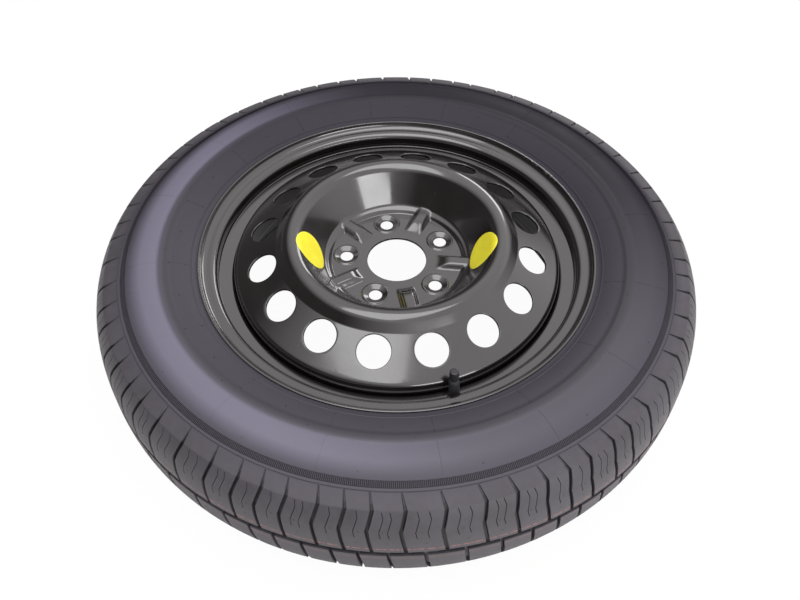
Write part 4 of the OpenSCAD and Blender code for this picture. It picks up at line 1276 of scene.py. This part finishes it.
class SPARE_OT_welds(bpy.types.Operator):
    """Lays the rippled weld beads that hold the disc's skirt in the rim"""
    bl_idname = "spare_wheel.welds"
    bl_label = "Welds"

    def execute(self, context):
        ripple, leg, count, reach = context.scene.spare_wheel.weld_ripple * 1000, 3.6, 8, 24.0
        top, steps = SKIRT_LOW - 0.05, int(math.radians(reach) * SKIRT_R / ripple) * 5
        shell = Shell()
        rows = []
        for i in range(steps + 1):
            share = i / steps
            swell = 1 + 0.07 * math.sin(FULL_TURN * i / 5)
            size = leg * swell * min(1.0, 0.55 + 6 * share, 0.55 + 6 * (1 - share))
            a = math.radians(reach) * share
            bead = [(SKIRT_R, top), (SKIRT_R - size * 0.8, top)]
            bead += [(SKIRT_R - size * 0.8 * math.cos(math.radians(b)),
                      top - size * 0.94 * math.sin(math.radians(b)))
                     for b in (18, 36, 54, 72)]
            bead += [(SKIRT_R, top - size * 0.98)]
            rows.append(shell.add([[r * math.cos(a), r * math.sin(a), z] for r, z in bead]))
        shell.bands(rows)
        for end in (rows[0], rows[-1]):
            shell.faces.append([int(i) for i in end])
        paint = bpy.data.materials["stoved_gloss_black_paint"]
        mesh = repeated(context, "weld_beads", mesh_from("bead", shell, sharp=60.0), count,
                        math.radians(22.5),
                        FULL_TURN / count, paint)
        put_piece(context, "weld_beads", mesh, paint, ["disc_welds"])
        return {"FINISHED"}


# Stickers

def sticker_mesh(name, degrees):
    """Thin round film on the bowl's wall and the crest's inner side."""
    path = disc_path()
    middle = BOWL_FOOT + direction(WALL_ANGLE) * 24.8
    along = direction(WALL_ANGLE)
    out = np.array([-along[1], along[0]])
    shell = Shell()
    turn = math.radians(degrees)
    faces = {}
    for lift in (0.05, 0.25):
        rows = []
        level = beside(path, lift)
        level = level[(level[:, 0] > 74) & (level[:, 0] < CREST_R + 2)]
        for radius in (23.0, 22.9, 21.5, 19, 16, 13, 10, 7, 4, 1.5):
            bearing = round_angles(96)
            a, b = radius * np.cos(bearing), radius * np.sin(bearing)
            x, y, z = middle[0] + a * along[0], b, middle[1] + a * along[1]
            for _ in range(12):
                miss = z - np.interp(np.hypot(x, y), level[:, 0], level[:, 1])
                x, z = x - out[0] * miss * 0.55, z - out[1] * miss * 0.55
            if lift > 0.1 and radius == 23.0:
                x, z = x - out[0] * 0.08, z - out[1] * 0.08
            rows.append(shell.add(np.stack([x * math.cos(turn) - y * math.sin(turn),
                                            x * math.sin(turn) + y * math.cos(turn), z], 1)))
        shell.bands(rows)
        last = np.concatenate(shell.points)[rows[-1]]
        shell.lid(rows[-1], last.mean(0))
        faces[lift] = rows[0]
    shell.band(faces[0.05], faces[0.25])
    return mesh_from(name, shell, sharp=50.0)


class SPARE_OT_stickers(bpy.types.Operator):
    """Puts the two round stickers in the bowl"""
    bl_idname = "spare_wheel.stickers"
    bl_label = "Stickers"

    def execute(self, context):
        vinyl = printed_vinyl(context.scene.spare_wheel)
        for name, node, degrees in (("sticker_right", "label_right", -7.0),
                                    ("sticker_left", "label_left", -172.5)):
            put_piece(context, name, sticker_mesh(name, degrees), vinyl, [node])
        return {"FINISHED"}


# Valve

BODY_L, STEM_L, BODY_D, STEM_D = 24.0, 9.5, 11.4, 7.74
STEM_TOP, STEM_BOTTOM = BODY_L + STEM_L, -RIM_T - 6.0
CAP_D, CAP_L, KNURL_H, CAP_CLEARANCE = 9.6, 11.6, 0.25, 0.08
CAP_LOW = BODY_L + 0.3
CAP_TOP = CAP_LOW + CAP_L
SEAL_TOP = STEM_TOP + 0.1 + 0.9


class SPARE_OT_valve(bpy.types.Operator):
    """Builds the valve's rubber body, its threaded stem and its knurled cap"""
    bl_idname = "spare_wheel.valve"
    bl_label = "Valve"

    def execute(self, context):
        sizes = context.scene.spare_valve
        rubber = moulded_rubber("moulded_valve_rubber", "#2B2B2E", 0.55)
        brass = turned_metal("turned_brass", "#C8A860", "#9A7C3E", 0.24, 0.12)
        put_piece(context, "valve_body", self.body(), rubber, ["valve_rubber"])
        put_piece(context, "valve_thread", self.stem(sizes.thread_pitch * 1000), brass,
                  ["valve_stem"])
        put_piece(context, "dust_cap", self.cap(sizes.knurls), moulded_polyamide(),
                  ["valve_cap"], "cap")
        return {"FINISHED"}

    def body(self):
        waist, bulb, hole = (STEM_D - 1.4) / 2, 8.2, VALVE_HOLE_D / 2
        corners = [[waist, STEM_BOTTOM, 0], [bulb - 2, STEM_BOTTOM, 0.8], [bulb, -RIM_T - 2, 0.6],
                   [bulb - 0.8, -RIM_T - 0.05, 0.3],
                   [hole - 0.05, -RIM_T - 0.05, 0.2], [hole - 0.05, 0.05, 0.2], [6.8, 0.05, 0.1],
                   [6.8, 0.96, 0.3],
                   [BODY_D / 2 + 0.3, 2.6, 1.0], [BODY_D / 2, 4.6, 2.0], [BODY_D / 2 - 0.3, BODY_L - 3, 0.4],
                   [BODY_D / 2 - 0.7, BODY_L - 2.2, 0.3], [BODY_D / 2 - 0.9, BODY_L - 0.6, 0.3],
                   [BODY_D / 2 - 1.5, BODY_L, 0.2],
                   [waist, BODY_L, 0]]
        shell = Shell()
        shell.lathe(supported(bent(corners, 15.0), 0.15, 1.5), 72)
        return mesh_from("valve_body", shell, place=valve_place(), sharp=50.0)

    def stem(self, pitch):
        """Brass tube: plain where the rubber holds it, threaded above."""
        shell = Shell()
        angles = round_angles(40)
        outer, thread_depth = STEM_D / 2, 0.43
        rows = [shell.ring(1.2, STEM_BOTTOM, angles), shell.ring((STEM_D - 1.5) / 2, STEM_BOTTOM, angles),
                shell.ring((STEM_D - 1.5) / 2, BODY_L, angles),
                shell.ring(outer - thread_depth, BODY_L + 0.001, angles)]
        for z in np.arange(BODY_L + 0.1, STEM_TOP - 0.5, pitch / 8):
            phase = (z / pitch - angles / FULL_TURN) % 1.0
            tooth = np.clip(np.abs(2 * phase - 1) * 1.3 - 0.15, 0, 1)
            rows.append(shell.ring(outer - thread_depth * tooth, z, angles))
        rows += [shell.ring(outer - 0.45, STEM_TOP - 0.05, angles),
                 shell.ring(outer - 0.55, STEM_TOP, angles),
                 shell.ring(2.3, STEM_TOP, angles), shell.ring(2.2, STEM_TOP - 0.12, angles),
                 shell.ring(2.2, 8.5, angles),
                 shell.ring(1.2, 8.5, angles)]
        shell.bands(rows + rows[:1])
        return mesh_from("valve_thread", shell, place=valve_place(), sharp=45.0)

    def cap(self, knurls):
        """Dust cap: ribs round its side, a rounded crown, and a plain bore for the thread."""
        per = 10
        shell = Shell()
        angles = round_angles(knurls * per)
        phase = np.arange(knurls * per) % per / per
        ridge = np.clip(1.35 - np.abs(phase - 0.5) * 6.5, 0, 1)
        body_r = CAP_D / 2 - KNURL_H
        rows = []
        for z, inset, share in ((CAP_LOW, 0.25, 0), (CAP_LOW + 0.1, 0.08, 0), (CAP_LOW + 0.3, 0, 0),
                                (CAP_LOW + 0.6, 0, 0.1),
                                (CAP_LOW + 0.9, 0, 1), (CAP_TOP - 2.4, 0, 1), (CAP_TOP - 2.0, 0, 0.1),
                                (CAP_TOP - 1.7, 0, 0),
                                (CAP_TOP - 0.95, 0.02, 0), (CAP_TOP - 0.6, 0.12, 0), (CAP_TOP - 0.3, 0.38, 0),
                                (CAP_TOP - 0.08, 0.8, 0), (CAP_TOP - 0.01, 1.25, 0), (CAP_TOP, 2.4, 0),
                                (CAP_TOP, 3.9, 0)):
            rows.append(shell.ring(body_r - inset + KNURL_H * share * ridge, z, angles))
        shell.bands(rows)
        shell.lid(rows[-1], [0, 0, CAP_TOP])
        bore = STEM_D / 2 + CAP_CLEARANCE
        inner = [shell.ring(r, z, angles)
                 for r, z in ((bore + 0.25, CAP_LOW), (bore, CAP_LOW + 0.25), (bore, SEAL_TOP + 0.05),
                              (2.0, SEAL_TOP + 0.05))]
        shell.bands([rows[0]] + inner)
        shell.lid(inner[-1], [0, 0, SEAL_TOP + 0.05])
        return mesh_from("dust_cap", shell, place=valve_place(), sharp=40.0)


class SPARE_OT_valve_core(bpy.types.Operator):
    """Finishes the small parts of the valve core and the cap's seal"""
    bl_idname = "spare_wheel.valve_core"
    bl_label = "Valve core"

    def execute(self, context):
        nitrile = moulded_rubber("nitrile_seal", "#2A2A2C", 0.6)
        finishes = {
            "cap_seal": nitrile,
            "pin_seal": nitrile,
            "barrel_seal": moulded_rubber("red_ptfe_barrel_seal", "#A8392E", 0.45),
            "core_spring": turned_metal("drawn_spring_steel", "#C4C4C8", "#8E8E94", 0.22, 0.05),
        }
        brass = bpy.data.materials["turned_brass"]
        for name in ("core_nut", "core_barrel", "core_pin", "pin_cup", "spring_cup"):
            finishes[name] = brass
        for name, material in finishes.items():
            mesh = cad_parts[name].data
            mesh.materials.clear()
            mesh.materials.append(material)
        return {"FINISHED"}


# Stage

class SPARE_OT_stage(bpy.types.Operator):
    """Sets the pale floor, the soft studio light and the camera"""
    bl_idname = "spare_wheel.stage"
    bl_label = "Stage"

    def execute(self, context):
        sizes = context.scene.spare_stage
        self.floor(context)
        self.world(context, sizes)
        self.lights(context, sizes)
        self.camera(context, sizes)
        context.scene.view_settings.view_transform = "Standard"
        return {"FINISHED"}

    def floor(self, context):
        level = (MIDDLE - HALF_W - 0.05) * MM
        reach, mesh = 4.0, bpy.data.meshes.new("studio_floor")
        mesh.from_pydata([(-reach, -reach, level), (reach, -reach, level), (reach, reach, level),
                          (-reach, reach, level)],
                         [], [(0, 1, 2, 3)])
        material, tree, shader, _ = new_material("pale_studio_floor")
        shader.inputs["Base Color"].default_value = linear("#F2F2F1")
        shader.inputs["Roughness"].default_value = 0.7
        glow = add_node(tree, "ShaderNodeEmission", {"Color": (1, 1, 1, 1), "Strength": 1.0})
        path = add_node(tree, "ShaderNodeLightPath")
        share = math_node(tree, "MULTIPLY", (path, "Is Camera Ray"), 0.96)
        mix = add_node(tree, "ShaderNodeMixShader", links={0: share, 1: shader, 2: glow})
        output = [n for n in tree.nodes if n.type == "OUTPUT_MATERIAL"][0]
        tree.links.new(mix.outputs[0], output.inputs[0])
        mesh.materials.append(material)
        floor = bpy.data.objects.new("studio_floor", mesh)
        context.scene.collection.objects.link(floor)

    def world(self, context, sizes):
        world = bpy.data.worlds.new("pale_studio")
        context.scene.world = world
        world.use_nodes = True
        tree = world.node_tree
        tree.nodes.clear()
        path = add_node(tree, "ShaderNodeLightPath")
        white = add_node(tree, "ShaderNodeBackground", {"Color": (1, 1, 1, 1), "Strength": 1.0})
        way = add_node(tree, "ShaderNodeSeparateXYZ",
                       links={0: (add_node(tree, "ShaderNodeTexCoord"), "Generated")})
        lean = math_node(tree, "ADD", (way, "Z"), math_node(tree, "MULTIPLY", (way, "X"), 0.40))
        level = spread(tree, lean, 0.28, 0.70, sizes.surround * 0.10, sizes.surround * 1.12)
        room = add_node(tree, "ShaderNodeBackground", {"Color": (1.0, 0.968, 0.975, 1)}, {"Strength": level})
        mix = add_node(tree, "ShaderNodeMixShader", links={0: (path, "Is Camera Ray"), 1: room, 2: white})
        add_node(tree, "ShaderNodeOutputWorld", links={0: mix})

    def lights(self, context, sizes):
        for name, power, size, place in (
                ("softbox_over", sizes.key_light, (1.2, 1.75), (-0.10, -0.14, 1.95)),
                ("softbox_right", sizes.side_light, (0.7, 0.5), (0.75, 1.70, 0.72)),
                ("softbox_front", sizes.fill_light, (1.4, 0.8), (1.0, -1.9, 0.8))):
            data = bpy.data.lights.new(name, "AREA")
            data.shape, data.size, data.size_y, data.energy = "RECTANGLE", size[0], size[1], power
            lamp = bpy.data.objects.new(name, data)
            lamp.location = place
            lamp.rotation_mode = "QUATERNION"
            lamp.rotation_quaternion = (Vector((0, 0, -0.03)) - Vector(place)).to_track_quat("-Z", "Y")
            context.scene.collection.objects.link(lamp)

    def camera(self, context, sizes):
        """The photograph's view: 49.7 degrees down, a little turned about the view's own axis."""
        elevation, roll = 0.867, 0.006
        back = Vector((0, -math.cos(elevation), math.sin(elevation)))
        right, up = Vector((1, 0, 0)), Vector((0, math.sin(elevation), math.cos(elevation)))
        x_axis = right * math.cos(roll) + up * math.sin(roll)
        y_axis = up * math.cos(roll) - right * math.sin(roll)
        data = bpy.data.cameras.new("photo_camera")
        data.sensor_width, data.lens, data.clip_start, data.clip_end = 36.0, sizes.lens, 0.01, 50
        camera = bpy.data.objects.new("photo_camera", data)
        camera.matrix_world = (Matrix.Translation((0.003917, -0.667128, 0.717009))
                               @ Matrix((x_axis, y_axis, back)).transposed().to_4x4())
        context.scene.collection.objects.link(camera)
        context.scene.camera = camera


# Panel and start

OPERATORS = (SPARE_OT_tyre, SPARE_OT_tyre_relief, SPARE_OT_rim, SPARE_OT_disc, SPARE_OT_welds,
             SPARE_OT_stickers,
             SPARE_OT_valve, SPARE_OT_valve_core, SPARE_OT_stage)
GROUPS = (("spare_tyre", SpareTyreSizes), ("spare_wheel", SpareWheelSizes), ("spare_valve", SpareValveSizes),
          ("spare_stage", SpareStageSizes))


class SPARE_PT_panel(bpy.types.Panel):
    """Lists the pieces of the spare wheel"""
    bl_idname = "SPARE_PT_panel"
    bl_label = "Spare wheel"
    bl_space_type = "VIEW_3D"
    bl_region_type = "UI"
    bl_category = "Spare wheel"

    def draw(self, context):
        for operator in OPERATORS:
            self.layout.operator(operator.bl_idname)
        for name, group in GROUPS:
            values = getattr(context.scene, name)
            for item in group.__annotations__:
                self.layout.prop(values, item)


def register():
    for kind in [group for _, group in GROUPS] + list(OPERATORS) + [SPARE_PT_panel]:
        bpy.utils.register_class(kind)
    for name, group in GROUPS:
        setattr(bpy.types.Scene, name, bpy.props.PointerProperty(type=group))


def unregister():
    for name, _ in GROUPS:
        delattr(bpy.types.Scene, name)
    for kind in [SPARE_PT_panel] + list(OPERATORS)[::-1] + [group for _, group in GROUPS]:
        bpy.utils.unregister_class(kind)


def main():
    register()
    for operator in OPERATORS:
        group, name = operator.bl_idname.split(".")
        getattr(getattr(bpy.ops, group), name)()


if __name__ == "__main__":
    main()
